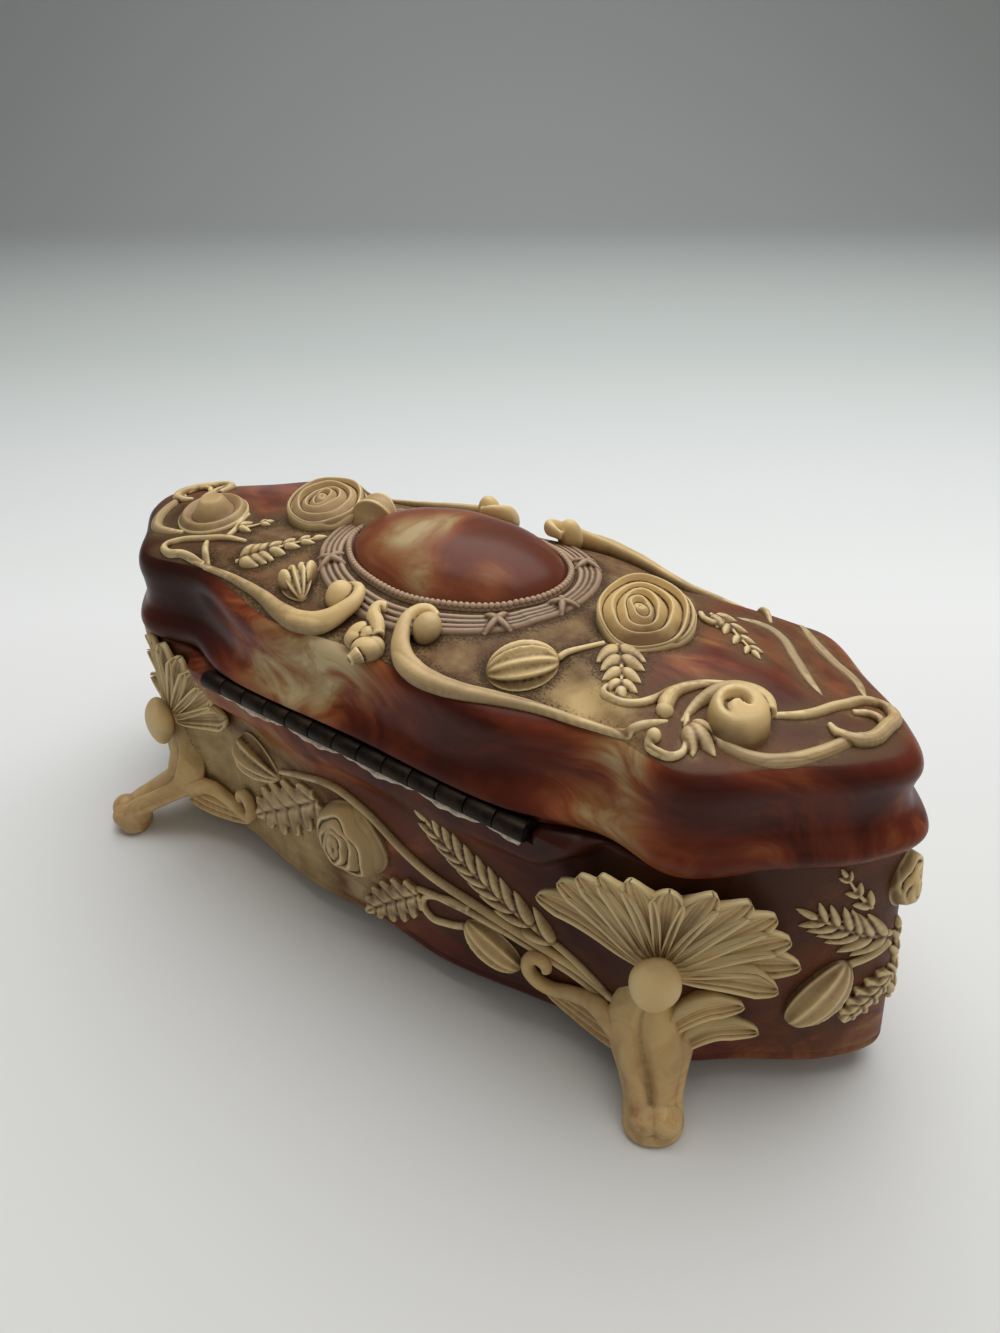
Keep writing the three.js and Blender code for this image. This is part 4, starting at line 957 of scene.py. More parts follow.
def rose(centre, radius, height, turn=0.0):
    """Rose of this radius, with its face at this height; turn sets where the corners of its petals lie."""
    def lip_radius(k, angle):
        share, oval = ROSE_LIPS[k][:2]
        if k == len(ROSE_LIPS) - 1:
            share = share + LAST_REACH * np.exp(3 * (np.cos(angle - LAST_PETAL) - 1))
        wave = 1 + oval * np.cos(2 * angle + turn + 0.7 * k) + 0.02 * np.cos(5 * angle - turn * k)
        return share * radius * wave

    def rise(r, angle):
        face = height - ROSE_TILT * r * np.cos(angle - ROSE_FACES)
        petals = []
        for k, (share, _, drop, inside, outside) in enumerate(ROSE_LIPS):
            u = r * np.cos(angle) - BUD_SHIFT[0] * radius * (1 - share)
            v = r * np.sin(angle) - BUD_SHIFT[1] * radius * (1 - share)
            around = np.arctan2(v, u)
            wilt = drop + 0.25 * np.cos(around + 2.4 * k + turn)
            out = np.hypot(u, v) - lip_radius(k, around)
            petals.append(lip(out, inside, outside, PETAL_ROUND) - wilt)
        return np.maximum(0.3, face + np.max(petals, axis=0))

    def rim(angle):
        return 1.06 * np.maximum(lip_radius(4, angle), lip_radius(5, angle))

    return boss(centre, rim, rise)


near_rose = lay(rose((-47.8, 0.4), 9.9, 5.0, turn=0.5), on_lid, TALL_SHARE)
far_rose = lay(rose((44.8, -0.9), 9.6, 6.0, turn=2.4), on_lid, TALL_SHARE)
print("rose points:", len(near_rose.data.vertices))

# %% [markdown]
# Each border scroll is a round band that follows the lid's edge from the waist to the bulge, swells there,
# turns back and curls round a ball. A Bezier curve with a radius at each point draws it. The two at the
# rear differ a little, as hand-cut masters do, and each is mirrored to the front, where it stands taller.

# %% Border scrolls
# Along each band: place on the board, height of the middle of the band, and its radius
NEAR_BAND = [
    (-62.6, 30.0, 0.0, 0.8), (-52.0, 31.5, 0.2, 1.0), (-43.0, 32.6, 0.3, 1.15), (-35.0, 34.7, 0.4, 1.4),
    (-27.5, 37.0, 0.5, 1.75), (-22.0, 37.8, 0.6, 2.05), (-16.6, 37.6, 1.0, 2.3), (-11.4, 35.4, 1.7, 2.2),
    (-7.8, 31.0, 2.5, 1.9), (-6.8, 26.6, 2.8, 1.6), (-8.9, 23.9, 2.6, 1.3), (-11.8, 23.9, 2.0, 0.8),
]
FAR_BAND = [
    (57.0, 30.0, 0.0, 0.8), (48.5, 30.4, 0.2, 0.95), (40.5, 31.6, 0.3, 1.15), (32.6, 33.4, 0.4, 1.45),
    (23.0, 36.2, 0.5, 2.0), (16.2, 36.8, 1.0, 2.3), (11.4, 35.0, 1.7, 2.2), (8.6, 31.2, 2.4, 1.9),
    (8.0, 27.8, 2.7, 1.6), (10.0, 24.9, 2.5, 1.3), (13.4, 24.6, 2.0, 0.8),
]
NEAR_FORK = [(-61.6, 29.8, 0.1), (-64.0, 27.4, 0.15), (-66.6, 24.0, -0.3)]
FAR_FORK = [(56.0, 29.8, 0.1), (60.0, 26.6, 0.15), (63.6, 22.5, -0.2)]
NEAR_CURL, FAR_CURL_BALL = (-11.8, 27.7, 1.8), (12.9, 28.0, 1.8)
CURL_BALL = 3.2
FRONT_TALL = 1.5

scrolls = {}
for end, band, fork, curl in (
        ("left", NEAR_BAND, NEAR_FORK, NEAR_CURL), ("right", FAR_BAND, FAR_FORK, FAR_CURL_BALL)):
    scroll = fuse([
        tube([point[:3] for point in band], [point[3] for point in band], sides=6),
        ball(curl, (CURL_BALL,) * 3),
        tube(fork, [0.9, 0.9, 0.5]),
    ], 0.3, 4)
    front = copy_of(scroll, f"border_scroll_front_{end}", (1, -1, FRONT_TALL))
    scrolls[f"scroll_front_{end}"] = lay(front, on_lid)
    scrolls[f"scroll_rear_{end}"] = lay(scroll, on_lid)
print("border scrolls:", len(scrolls))

# %% [markdown]
# Near each end stands a snail scroll. The near one is a drum like a rolled leaf, with a comma-shaped hollow
# on top and a broad lower winding on one side. The far one is a knob in a wide saucer. Both are heights
# over a disc, and the winding is a tube that is fused to its drum.

# %% Snail scrolls
SNAIL_RADIUS = 5.9
SNAIL_HEIGHT = 6.2
SAUCER = 9.6
NEAR_SNAIL, FAR_SNAIL = (-77.6, 17.6), (72.6, 13.0)
# The lower winding round the drum, from its middle
WINDING = [(8.6, 5.4, -0.1), (8.8, 1.6, 0.3), (8.0, -2.8, 0.7), (5.8, -6.0, 1.3), (2.2, -7.4, 2.0),
           (-2.0, -6.4, 2.8), (-4.4, -3.6, 3.4)]


def snail_rise(r, angle):
    share = np.clip(r / SNAIL_RADIUS, 0, 1)
    drum = SNAIL_HEIGHT * (1 - share ** 7) ** 0.5 - 0.12 * r * np.cos(angle - ROSE_FACES)
    wound = np.mod(angle - 3.3, 2 * math.pi)
    path = 0.5 + 0.62 * wound
    deep = 2.2 * (1 - soft_step(wound, 2.2, 5.2))
    return drum - deep * np.exp(-((r - path) / 0.85) ** 2)


def saucer_rise(r, angle):
    knob = 5.8 - 4.4 * soft_step(r, 2.4, 6.2)
    rim = 3.0 + lip(r - 7.9 - 0.5 * np.cos(2 * angle + 0.8), 0.8, 1.3)
    return np.maximum(knob, rim) - 0.1 * r * np.cos(angle - ROSE_FACES)


snail = fuse([
    boss((0, 0), lambda angle: SNAIL_RADIUS + 0 * angle, snail_rise, 96, 48),
    tube(WINDING, [0.6, 0.9, 1.4, 1.9, 2.1, 2.0, 1.4], sides=5),
], 0.28, 3)
far_snail = boss(FAR_SNAIL, lambda angle: SAUCER + 0.5 * np.cos(2 * angle + 0.8), saucer_rise, 96, 64)
move_points(snail, points_of(snail) + (*NEAR_SNAIL, 0))
snail_left = lay(snail, on_lid, TALL_SHARE)
snail_right = lay(far_snail, on_lid, TALL_SHARE)
print("snail points:", len(snail_left.data.vertices))

# %% [markdown]
# Pods, buds and leaflets are stretched spheres. A pod gets its ribs from a wave round its long axis. A
# leaflet is drawn to a point at its tip. A sprig is a midrib with pairs of such leaflets along it. Broad
# leaves and petals are ribbons: a grid bent into a flat shell along a path, with a width and a height.

# %% Pods, leaflets and sprigs
def pod_shape(ribs, depth, blunt=0.0):
    """Unit sphere with ribs along x, drawn in towards -x by blunt."""
    def shape(points):
        x, y, z = points[:, 2], points[:, 0], points[:, 1]
        around = np.arctan2(z, y)
        swell = 1 - depth * np.abs(np.sin(ribs * around / 2)) ** 0.7 + depth * 0.5
        narrow = 1 + blunt * x
        return np.column_stack([x, y * swell * narrow, z * swell * narrow])
    return shape


def pod(base, tip, width, height, ribs=10, depth=0.14, blunt=0.0, lift=0.0):
    (u0, v0), (u1, v1) = base, tip
    half = math.hypot(u1 - u0, v1 - v0) / 2
    turn = math.atan2(v1 - v0, u1 - u0)
    centre = ((u0 + u1) / 2, (v0 + v1) / 2, lift)
    return ball(centre, (half, width / 2, height), turn, pod_shape(ribs, depth, blunt), 80, 40)


def leaflet_shape(points):
    """Unit sphere drawn out to a point along x, fullest behind its middle."""
    x, y, z = points[:, 2], points[:, 0], points[:, 1]
    taper = np.sqrt(np.clip(1 - x, 0.03, 2) / 1.3)
    return np.column_stack([x, y * taper, z * taper])


def leaflet(base, degrees, length, width, height, lift=0.2):
    turn = math.radians(degrees)
    centre = (base[0] + length / 2 * math.cos(turn), base[1] + length / 2 * math.sin(turn), lift)
    return ball(centre, (length / 2, width / 2, height), turn, leaflet_shape, 20, 12)


def sprig(path, pairs, length, width, height, spread=38, first=0.1, stalk=0.5):
    """Midrib along path, with pairs of leaflets that lean towards its tip and shorten there."""
    line = smooth_through(path, 12)
    parts = [tube([(*p, 0.35) for p in path], [stalk, stalk * 0.6])]

    def leaf_at(i, lean_out, size):
        heading = math.degrees(math.atan2(*(line[i + 1] - line[i])[::-1]))
        return leaflet(line[i], heading + lean_out, length * size, width * size, height * size)

    for share in np.linspace(first, 0.93, pairs):
        i = int(share * (len(line) - 2))
        parts += [leaf_at(i, side * spread, 1 - 0.4 * share) for side in (-1, 1)]
    heading = math.degrees(math.atan2(*(line[-1] - line[-2])[::-1]))
    return parts + [leaflet(line[-1], heading, length * 0.6, width * 0.6, height * 0.6)]


def ribbon(path, half_width, rise, under, across=29):
    """Ribbon along a board path: half_width(t) is its edge, rise(t, s) and under(t) its two faces."""
    path = np.asarray(path, float)
    run = np.gradient(path, axis=0)
    run /= np.linalg.norm(run, axis=1)[:, None]
    side = np.stack([-run[:, 1], run[:, 0]], axis=1)
    t = np.linspace(0, 1, len(path))
    s = np.linspace(-1, 1, across)
    wide = half_width(t)
    rows = []
    for i in range(len(path)):
        upper = np.column_stack([path[i] + side[i] * (s * wide[i])[:, None], rise(t[i], s)])
        lower = np.column_stack([upper[::-1, :2], np.full(across, under(t[i]))])
        rows.append(np.concatenate([upper, lower]))
    ends = [np.tile(row.mean(axis=0), (2 * across, 1)) for row in (rows[0], rows[-1])]
    return shell([ends[0], *rows, ends[1]])


print("shapes ready")

# %% [markdown]
# The lid's spray: a ribbed pod and its stalk between scroll and rose, a leaf under one rose with a looped
# vine and a drooping leaflet, a sprig beyond it, a tulip bud and a laurel leaf by the other rose, a blossom
# between the two curls and a rosebud by the stone. Each is fused into one soft casting and laid on the dome.

# %% Lid spray
SPRAY_VOXEL = 0.24


def on_dome(parts, soft=1):
    """Fuse parts into one casting and lay it on the lid."""
    return lay(fuse(parts, SPRAY_VOXEL, soft), on_lid)


seed_pod = on_dome([
    pod((-29.4, 30.8), (-40.4, 21.0), 10.6, 4.8, ribs=12, depth=0.2, lift=0.3),
    tube([(-39.6, 21.4, 0.8), (-42.0, 16.6, 0.4), (-45.0, 11.2, 0.2)], [0.75, 0.6, 0.55]),
])

VINE = [(-54.6, 21.4, 0.3), (-52.6, 24.0, 0.3), (-55.4, 25.2, 0.35), (-59.1, 24.4, 0.4), (-62.0, 20.6, 0.4),
        (-63.4, 16.4, 0.4), (-65.9, 12.2, 0.4), (-69.9, 8.6, 0.4), (-74.6, 5.4, 0.3)]
DROOP = [(-65.0, 22.6, 0.5), (-64.2, 20.2, 0.6), (-64.2, 16.6, 0.6), (-65.9, 13.0, 0.5), (-69.0, 9.2, 0.4)]
LOOP = [(-54.4, -13.2, 0.4), (-57.0, -11.2, 0.5), (-59.6, -12.0, 0.5), (-59.4, -14.4, 0.4)]
rose_leaf = on_dome([
    *sprig([(-47.4, 10.2), (-51.4, 15.4), (-55.0, 21.6)], 4, 7.4, 4.0, 1.7, spread=46),
    tube(VINE, [0.55, 0.65, 0.7, 0.75, 0.85, 0.9, 0.8, 0.65, 0.4]),
    tube(DROOP, [1.5, 1.6, 1.25, 0.9, 0.5]),
    ball(DROOP[0], (1.7, 1.7, 1.5)),
    *sprig([(-56.0, -14.8), (-60.6, -13.4), (-65.6, -9.6), (-69.4, -7.0)], 4, 5.4, 2.6, 1.4, spread=44),
    tube(LOOP, [0.7, 0.8, 0.8, 0.5]),
    leaflet((-57.0, -13.6), 150, 6.0, 3.2, 1.6),
])

laurel_leaf = on_dome(sprig([(49.4, 26.4), (44.0, 21.4), (37.6, 11.6)], 6, 6.6, 3.2, 1.6, spread=38))

TULIP_BASE = np.array([21.6, 31.2])
TULIP_LENGTH = 10.8
tulip_parts = [pod(TULIP_BASE, (30.0, 25.0), 6.6, 4.2, ribs=9, depth=0.3, blunt=0.3, lift=0.4)]
for degrees in (-60, -46, -32, -18):
    heading = np.array([math.cos(math.radians(degrees)), math.sin(math.radians(degrees))])
    mouth = TULIP_BASE + TULIP_LENGTH * heading
    tulip_parts.append(leaflet(mouth, degrees + 180, 8.6, 3.2, 3.0, lift=1.6))
tulip_bud = on_dome(tulip_parts)

blossom = on_dome([
    ball((-2.4, 36.0, 0.8), (3.7, 2.9, 2.6), 0.5),
    ball((1.9, 33.8, 0.8), (3.5, 2.8, 2.6), 0.9),
    ball((-0.6, 33.9, 2.2), (1.9, 1.7, 1.5)),
    tube([(-2.4, 38.6, 0.8), (-1.6, 41.0, 0.2)], [1.9, 1.2]),
    tube([(-2.8, 33.4, 1.8), (-0.6, 31.0, 2.2), (1.8, 29.2, 2.2), (2.2, 27.0, 2.2), (0.6, 26.2, 2.2)],
         [1.7, 1.8, 1.6, 1.4, 1.0]),
], 2)

rosebud = on_dome([
    pod((24.6, -4.8), (37.0, -2.2), 10.4, 8.0, ribs=6, depth=0.3, blunt=-0.12),
    leaflet((26.4, -7.4), 22, 10.4, 4.4, 5.6),
    leaflet((26.6, -1.0), -8, 10.0, 4.4, 5.2),
])
print("rosebud points:", len(rosebud.data.vertices))

# %% [markdown]
# From the snail a flat band runs along the edge of the end to the apex, and a ribbon comes back and folds
# over itself there. By the corner ear a little hooked stem carries one leaf. Two low stems lie on the front
# half of the near end. The far end has the same band and ribbon, and a hairpin in place of the hook.

# %% End scrolls
END_BAND = [
    (-73.6, 22.4, 0.0), (-78.0, 23.4, -0.1), (-83.2, 22.9, -0.3), (-87.8, 19.9, -0.4), (-92.0, 14.2, -0.4),
    (-95.0, 7.4, -0.2), (-96.6, 3.6, 0.1),
]
END_RADII = [0.6, 1.2, 1.5, 1.6, 1.55, 1.3, 0.8]
END_RIBBON = [
    (-81.6, 10.6, 0.2), (-86.4, 5.8, 0.3), (-90.2, -2.4, 0.3), (-94.8, -10.4, 0.4), (-98.2, -9.6, 0.5),
    (-99.2, -2.6, 0.6), (-97.2, 5.6, 0.6), (-93.2, 7.0, 0.5), (-90.6, 5.4, 0.3),
]
RIBBON_RADII = [0.7, 1.0, 1.1, 1.15, 1.4, 1.5, 1.45, 1.1, 0.6]
RIBBON_FOLD = [(-92.6, -2.0, 0.3), (-95.8, -4.4, 0.5), (-98.0, -3.6, 0.6), (-97.8, 1.6, 0.5)]
HOOK = [(-66.4, 29.2, 0.9), (-66.4, 31.0, 0.7), (-68.9, 32.0, 0.6), (-72.2, 31.0, 0.5), (-72.0, 27.0, 0.5),
        (-69.8, 23.0, 0.4), (-68.3, 19.6, 0.3)]
LOW_STEM_A = [(-60.0, -19.0, -0.9), (-65.3, -21.0, -0.9), (-69.7, -20.4, -0.9), (-76.7, -13.0, -0.9),
              (-81.4, -7.4, -0.9), (-86.4, -2.8, -1.0)]
LOW_STEM_B = [(-70.4, -32.0, -0.9), (-76.6, -25.0, -1.0), (-82.6, -20.4, -1.1), (-88.6, -16.6, -1.1),
              (-92.0, -11.8, -1.1)]
HAIRPIN = [(57.0, 30.0, 0.3), (64.7, 30.2, 0.4), (69.0, 31.4, 0.5), (71.6, 29.8, 0.5), (69.8, 26.6, 0.5),
           (64.0, 23.6, 0.5), (58.0, 21.0, 0.5), (52.0, 20.0, 0.3)]
FAR_BRANCH = [(58.6, 20.8, 0.4), (60.0, 16.6, 0.4), (63.0, 11.6, 0.4), (64.4, 8.0, 0.3)]
FAR_CURL = [(88.0, -2.0, 0.3), (90.4, -7.4, 0.5), (95.0, -10.6, 0.6), (99.0, -9.0, 0.6), (100.4, -4.0, 0.5)]

near_end = [
    tube(HOOK, [1.0, 0.8, 0.75, 0.75, 0.65, 0.6, 0.45]),
    ball((-66.6, 29.6, 0.8), (1.4, 1.4, 1.3)),
    leaflet((-70.4, 23.0), 152, 8.6, 4.2, 1.9),
    leaflet((-70.6, 23.6), 124, 7.4, 3.6, 1.8),
    leaflet((-70.4, 22.4), 182, 6.6, 3.2, 1.7),
    tube(LOW_STEM_A, [0.9, 1.4, 1.5, 1.5, 1.4, 1.0]),
    tube(LOW_STEM_B, [1.1, 1.7, 1.8, 1.7, 1.2]),
]
far_end = [
    tube(HAIRPIN, [0.8, 0.8, 0.9, 0.9, 0.85, 0.85, 0.8, 0.5]),
    tube(FAR_BRANCH, [0.7, 0.8, 0.8, 0.5]),
    tube(FAR_CURL, [0.8, 1.2, 1.4, 1.3, 0.8]),
    *sprig([(60.4, 16.0), (58.0, 13.6), (56.0, 10.4)], 2, 4.8, 2.4, 1.4, spread=40),
]
end_scrolls = {}
for end, sign, extras in (("left", 1, near_end), ("right", -1, far_end)):
    parts = [
        tube([(sign * x, y, h) for x, y, h in END_BAND], END_RADII, sides=5),
        tube([(sign * x, y, h) for x, y, h in END_RIBBON], RIBBON_RADII),
        tube([(sign * x, y, h) for x, y, h in RIBBON_FOLD], [0.6, 0.9, 0.9, 0.5]),
    ]
    end_scrolls[f"end_scroll_{end}"] = lay(fuse(parts + extras, 0.25, 2), on_lid)
print("end scrolls:", len(end_scrolls))

# %% [markdown]
# On each long wall a spray climbs from foot to foot: a full rose with wavy petals, a bud, two ragged
# leaves, a stem, an ear of wheat with nine pairs of grains, and a pod on a looped stalk. The board's first
# measure is now the way round the wall from the middle of the rear, and its second is the height.

# %% Wall spray
def ragged_leaf(base, tip, width, height, teeth=5):
    """Broad leaf with a jagged edge, a sunk midrib and a groove to each notch of its edge."""
    path = np.asarray(base) + (np.asarray(tip) - base) * np.linspace(0, 1, 60)[:, None]

    def half_width(t):
        full = np.sin(math.pi * (0.1 + 0.87 * t)) ** 0.6
        return width / 2 * full * (0.82 + 0.18 * np.sin(2 * math.pi * teeth * t - 1.2))

    def rise(t, s):
        lobe = np.cos(math.pi * (teeth * t - 0.9 * np.abs(s))) ** 2
        return 0.5 + height * (1 - 0.5 * s * s) - 0.45 * lobe ** 3 - 0.45 * np.exp(-(s / 0.12) ** 2)

    return ribbon(path, half_width, rise, lambda t: SUNK)


# Folds of the wall rose from the bud outwards: middle, half width, half height, drop below its crown
WALL_FOLDS = (
    (-2.8, -0.6, 0.9, 2.2, 0.0), (-2.6, -0.6, 2.7, 4.4, 0.0),
    (-2.0, -0.4, 4.7, 6.6, 0.1), (-1.0, 0.0, 6.9, 8.4, 0.2),
)
# Radius at which the folds have these sizes
WALL_ROSE = 10.6


def wall_rose(centre, radius, height):
    """Cabbage rose: tall folds wind round a bud at one side, with a broad smooth petal round them."""
    def rim(angle):
        return radius * (0.94 + 0.06 * np.sin(angle) ** 2 + 0.04 * np.cos(3 * angle + 0.6))

    def rise(r, angle):
        u, v = (WALL_ROSE / radius * r * wave for wave in (np.cos(angle), np.sin(angle)))
        heights = [np.full_like(r, -2.0)]
        for k, (mid_u, mid_v, half_u, half_v, drop) in enumerate(WALL_FOLDS):
            across, up = (u - mid_u) / half_u, (v - mid_v) / half_v
            around = np.arctan2(up, across)
            reach = (np.hypot(across, up) - 1
                     + 0.12 * np.sin(2 * around + 2 * k) + 0.06 * np.sin(5 * around + k))
            wilt = 0.3 * (1 + np.cos(around - 1.3 * k))
            heights.append(lip(reach * half_u, 3.0 if k else 0.4, 1.3, 0.8) - drop - wilt)
        face = height * (1 - 0.6 * np.clip(r / radius, 0, 1) ** 3.5)
        return np.maximum(0.4, face + np.max(heights, axis=0))

    return boss(centre, rim, rise)


STEM = [(-29.0, 41.0, 0.3), (-20.0, 44.4, 0.4), (-10.6, 45.6, 0.5), (-2.0, 42.6, 0.5), (10.8, 37.2, 0.6),
        (30.5, 31.6, 0.6), (48.0, 25.8, 0.6), (67.0, 21.0, 0.6)]
LOWER_STEM = [(9.0, 24.0, 0.3), (16.0, 27.4, 0.4), (24.0, 28.6, 0.5), (36.0, 26.8, 0.5), (50.0, 22.6, 0.5),
              (67.0, 18.2, 0.5)]
POD_STALK = [(30.0, 29.0, 0.4), (22.0, 28.6, 0.45), (17.0, 24.6, 0.5), (18.6, 20.8, 0.5), (24.0, 21.2, 0.5),
             (29.4, 23.0, 0.5)]
WHEAT = [(66.0, 20.6), (44.0, 32.0), (31.0, 41.4), (19.6, 50.2)]

spray = {
    "rose": [wall_rose((-5.2, 31.4), 10.8, 6.4)],
    "bud": [pod((-46.4, 41.6), (-29.6, 38.4), 10.4, 5.0, ribs=9, depth=0.34, blunt=-0.25, lift=0.4)],
    "pod": [pod((29.0, 24.6), (42.8, 15.6), 8.6, 4.4, ribs=10, depth=0.16, lift=0.3),
            tube(POD_STALK, [0.8, 0.8, 0.8, 0.85, 0.9, 0.9])],
    "stem": [tube(STEM, [0.7, 0.85, 1.0, 1.0, 1.05, 1.1, 1.15, 0.8]),
             tube(LOWER_STEM, [0.6, 0.8, 0.9, 0.9, 0.9, 0.6]),
             ragged_leaf((-15.4, 39.4), (-43.0, 19.0), 16.0, 1.5),
             ragged_leaf((16.0, 26.4), (-3.0, 8.6), 12.0, 1.5)],
    "wheat": sprig(WHEAT, 9, 11.6, 3.3, 2.0, spread=30, first=0.24, stalk=0.9),
}
wall_pieces = {}


def lay_pair(spray, near, far, start=0.0):
    """Fuse each piece of a spray, lay it on one wall, and a copy of it on the wall across the box."""
    for name, parts in spray.items():
        piece = fuse(parts, 0.28, 2)
        other = copy_of(piece, f"{far}_spray_{name}")
        wall_pieces[f"{far}_{name}"] = lay(other, lambda board: on_wall(board, start + WALL_LENGTH / 2))
        wall_pieces[f"{near}_{name}"] = lay(piece, lambda board: on_wall(board, start))


lay_pair(spray, "rear", "front")
print("wall spray pieces:", len(wall_pieces))

# %% [markdown]
# Each end wall has a smaller spray round its apex: a rose near the rim, a fern with two fronds, and a pod
# between ragged leaves over a short upright sprig. It is made on the same board, counted from the apex.

# %% End sprays
end_spray = {
    "rose": [wall_rose((1.6, 53.2), 6.6, 4.0)],
    "fern": [
        *sprig([(-2.6, 41.0), (-9.0, 43.0), (-14.5, 46.4), (-19.6, 49.4)],
               6, 9.4, 2.7, 1.7, spread=40, stalk=0.7),
        *sprig([(-8.4, 50.0), (-12.0, 54.6), (-15.0, 59.6)], 3, 4.4, 1.9, 1.3, spread=36),
    ],
    "pod": [
        pod((-12.6, 36.6), (-22.6, 19.8), 9.0, 4.4, ribs=9, depth=0.2, lift=0.3),
        tube([(-2.6, 38.6, 0.3), (-7.0, 37.0, 0.5), (-12.0, 35.8, 0.6)], [0.8, 0.85, 0.8]),
        ragged_leaf((-2.0, 30.0), (-12.4, 20.0), 8.0, 1.5),
        *sprig([(0.6, 20.0), (1.0, 30.0), (0.4, 40.0)], 4, 6.4, 2.6, 1.8, spread=30, stalk=0.8),
        ragged_leaf((3.0, 28.0), (13.0, 19.0), 8.0, 1.5),
    ],
}
lay_pair(end_spray, "left_end", "right_end", APEX_ALONG)
print("wall pieces with the ends:", len(wall_pieces))

# %% [markdown]
# Each foot grows out of a corner ear with a fan of grooved petals that flare away from the wall. A petal is
# a ribbon on the wall's board: narrow at the root, broad and bluntly pointed at the tip, and hollow like a
# trough with fine furrows along it. The petals stay closed shapes of their own, so that the gaps between
# them stay crisp, and their undersides are sunk in the wall. Two stubby petals more lie low on the end side.

# %% Foot petals
KNEE_Z = 36.5
# Round the fan from the rear wall to the end: turn from upright in degrees, and reach
FAN = ((-67, 28.5), (-51, 27.2), (-37, 26.4), (-24, 26.4), (-11, 27.0), (1, 26.6), (14, 27.6), (29, 27.4),
       (44, 27.4), (59, 26.4), (75, 26.0), (90, 21.5))
FAN_ROOT = 2.5
PETAL_HALF = 3.7
# Two stubby petals low on the end side, each along its path from the leg
LOW_PETALS = (
    [(1.0, 15.0), (4.0, 23.0), (9.0, 28.2), (15.6, 30.0)],
    [(3.0, 11.0), (6.5, 17.6), (11.5, 21.6), (19.4, 21.8)],
)


def petal(path, half, flare, step):
    """Trough with soft furrows along a board path; step lifts it over its neighbours."""
    path = smooth_through(np.asarray(path) + (EAR_ALONG, 0), 36 // (len(path) - 1))

    def half_width(t):
        point = np.clip((1 - t) / 0.22, 0.005, 1) ** 0.5
        return half * (0.26 + 0.74 * soft_step(t, -0.2, 0.85)) * point

    def rise(t, s):
        trough = (0.9 * np.abs(s) ** 3 + 0.3 * np.cos(4 * math.pi * s) * (1 - np.abs(s) ** 3)
                  - 0.8 * np.exp(-(s / 0.14) ** 2))
        return 1.6 + step + flare * t ** 2 + soft_step(t, 0, 0.25) * (trough - 0.4)

    def under(t):
        return -1.0 + (1.3 + step + flare * t ** 2) * soft_step(t, 0.5, 0.97)

    return ribbon(path, half_width, rise, under)


def fan_petals(flares):
    """All petals of one foot; flares are how far tips stand out on the rear and on the end side."""
    made = [petal(path, 2.6, 1.6, 1.4) for path in LOW_PETALS]
    for degrees, reach in FAN:
        heading = np.array([math.sin(math.radians(degrees)), math.cos(math.radians(degrees))])
        half = PETAL_HALF - 1.0 * math.exp(-(degrees / 20) ** 2)
        flare = flares[0] + (flares[1] - flares[0]) * soft_step(degrees, 10, 70)
        path = [(0, KNEE_Z) + FAN_ROOT * heading, (0, KNEE_Z) + reach * heading]
        made.append(petal(path, half, flare, abs(degrees) / 150))
    for part in made:
        set_mark(part, "rise", points_of(part)[:, 2])
        move_points(part, on_wall(points_of(part)))
    return made


print("petals in a fan:", len(FAN))

# %% [markdown]
# Below the fan the leg sweeps down and out to a lobed toe. It is a shell of oval rings along a curve, with
# a deep groove down its front and a folded leaf beside it. On the rear side a tendril curls off along the
# wall over a furrowed leaf. These are fused into one casting. The petals and an oval boss at the root of the
# fan are joined to it. The feet at the far end stay close to the wall and then run out further.

# %% Leg, boss and tendril
# Down the leg: height, share of the toe's reach at the near and at the far feet, half width, half depth
LEG = [
    (38.0, 0.02, 0.0, 3.0, 2.0), (33.0, 0.03, 0.0, 3.2, 2.4), (28.0, 0.06, 0.0, 5.2, 3.2),
    (22.0, 0.13, 0.02, 8.6, 4.6), (16.0, 0.27, 0.1, 9.2, 5.6), (11.0, 0.47, 0.5, 7.4, 5.8),
    (7.0, 0.7, 0.88, 6.4, 5.4), (3.6, 0.9, 1.0, 6.6, 5.0), (1.2, 1.0, 1.0, 6.3, 4.6),
    (0.0, 1.0, 1.0, 5.0, 3.6),
]
LEG_AROUND = 80
# Grooves down the leg: place round it from its front in radians, at the toe and at the top, depth, width
LEG_GROOVES = ((0.1, 0.4, 0.42, 0.17), (-0.75, -0.7, 0.18, 0.14), (1.1, 1.3, 0.2, 0.14))
# A folded leaf down the leg: places round it from top to toe, radii, and share of the way to the skin
FOLD_PLACES, FOLD_RADII, FOLD_SUNK = (0.95, 0.85, 0.66, 0.5), (0.5, 2.0, 2.0, 0.7), 0.8
FOLD_POINTS = 9
# Two lobes of the toe: place round it, and radius
TOE_LOBES = ((0.55, 3.5), (-0.45, 3.9))
LOBE_SUNK = 0.6
# The upper leg wraps back round the corner by this much at its edges
LEG_WRAP = 5.0
BOSS_HALF, BOSS_OUT, BOSS_RISE = (3.6, 5.3, 7.2), 5.0, 3.0
TENDRIL = [(-5.0, 16.0, 3.0), (-12.0, 18.4, 2.2), (-18.7, 16.6, 1.7), (-25.5, 14.8, 1.6), (-29.1, 16.6, 1.7),
           (-30.3, 20.0, 1.8), (-28.7, 23.0, 1.9), (-26.1, 22.4, 2.0), (-25.5, 20.0, 2.0)]
TENDRIL_RADII = [2.8, 2.2, 1.8, 1.7, 1.7, 1.7, 1.6, 1.5, 1.2]
LOW_LEAF = [(-26.0, 12.4), (-18.5, 10.8), (-11.0, 10.8), (-3.0, 12.0)]

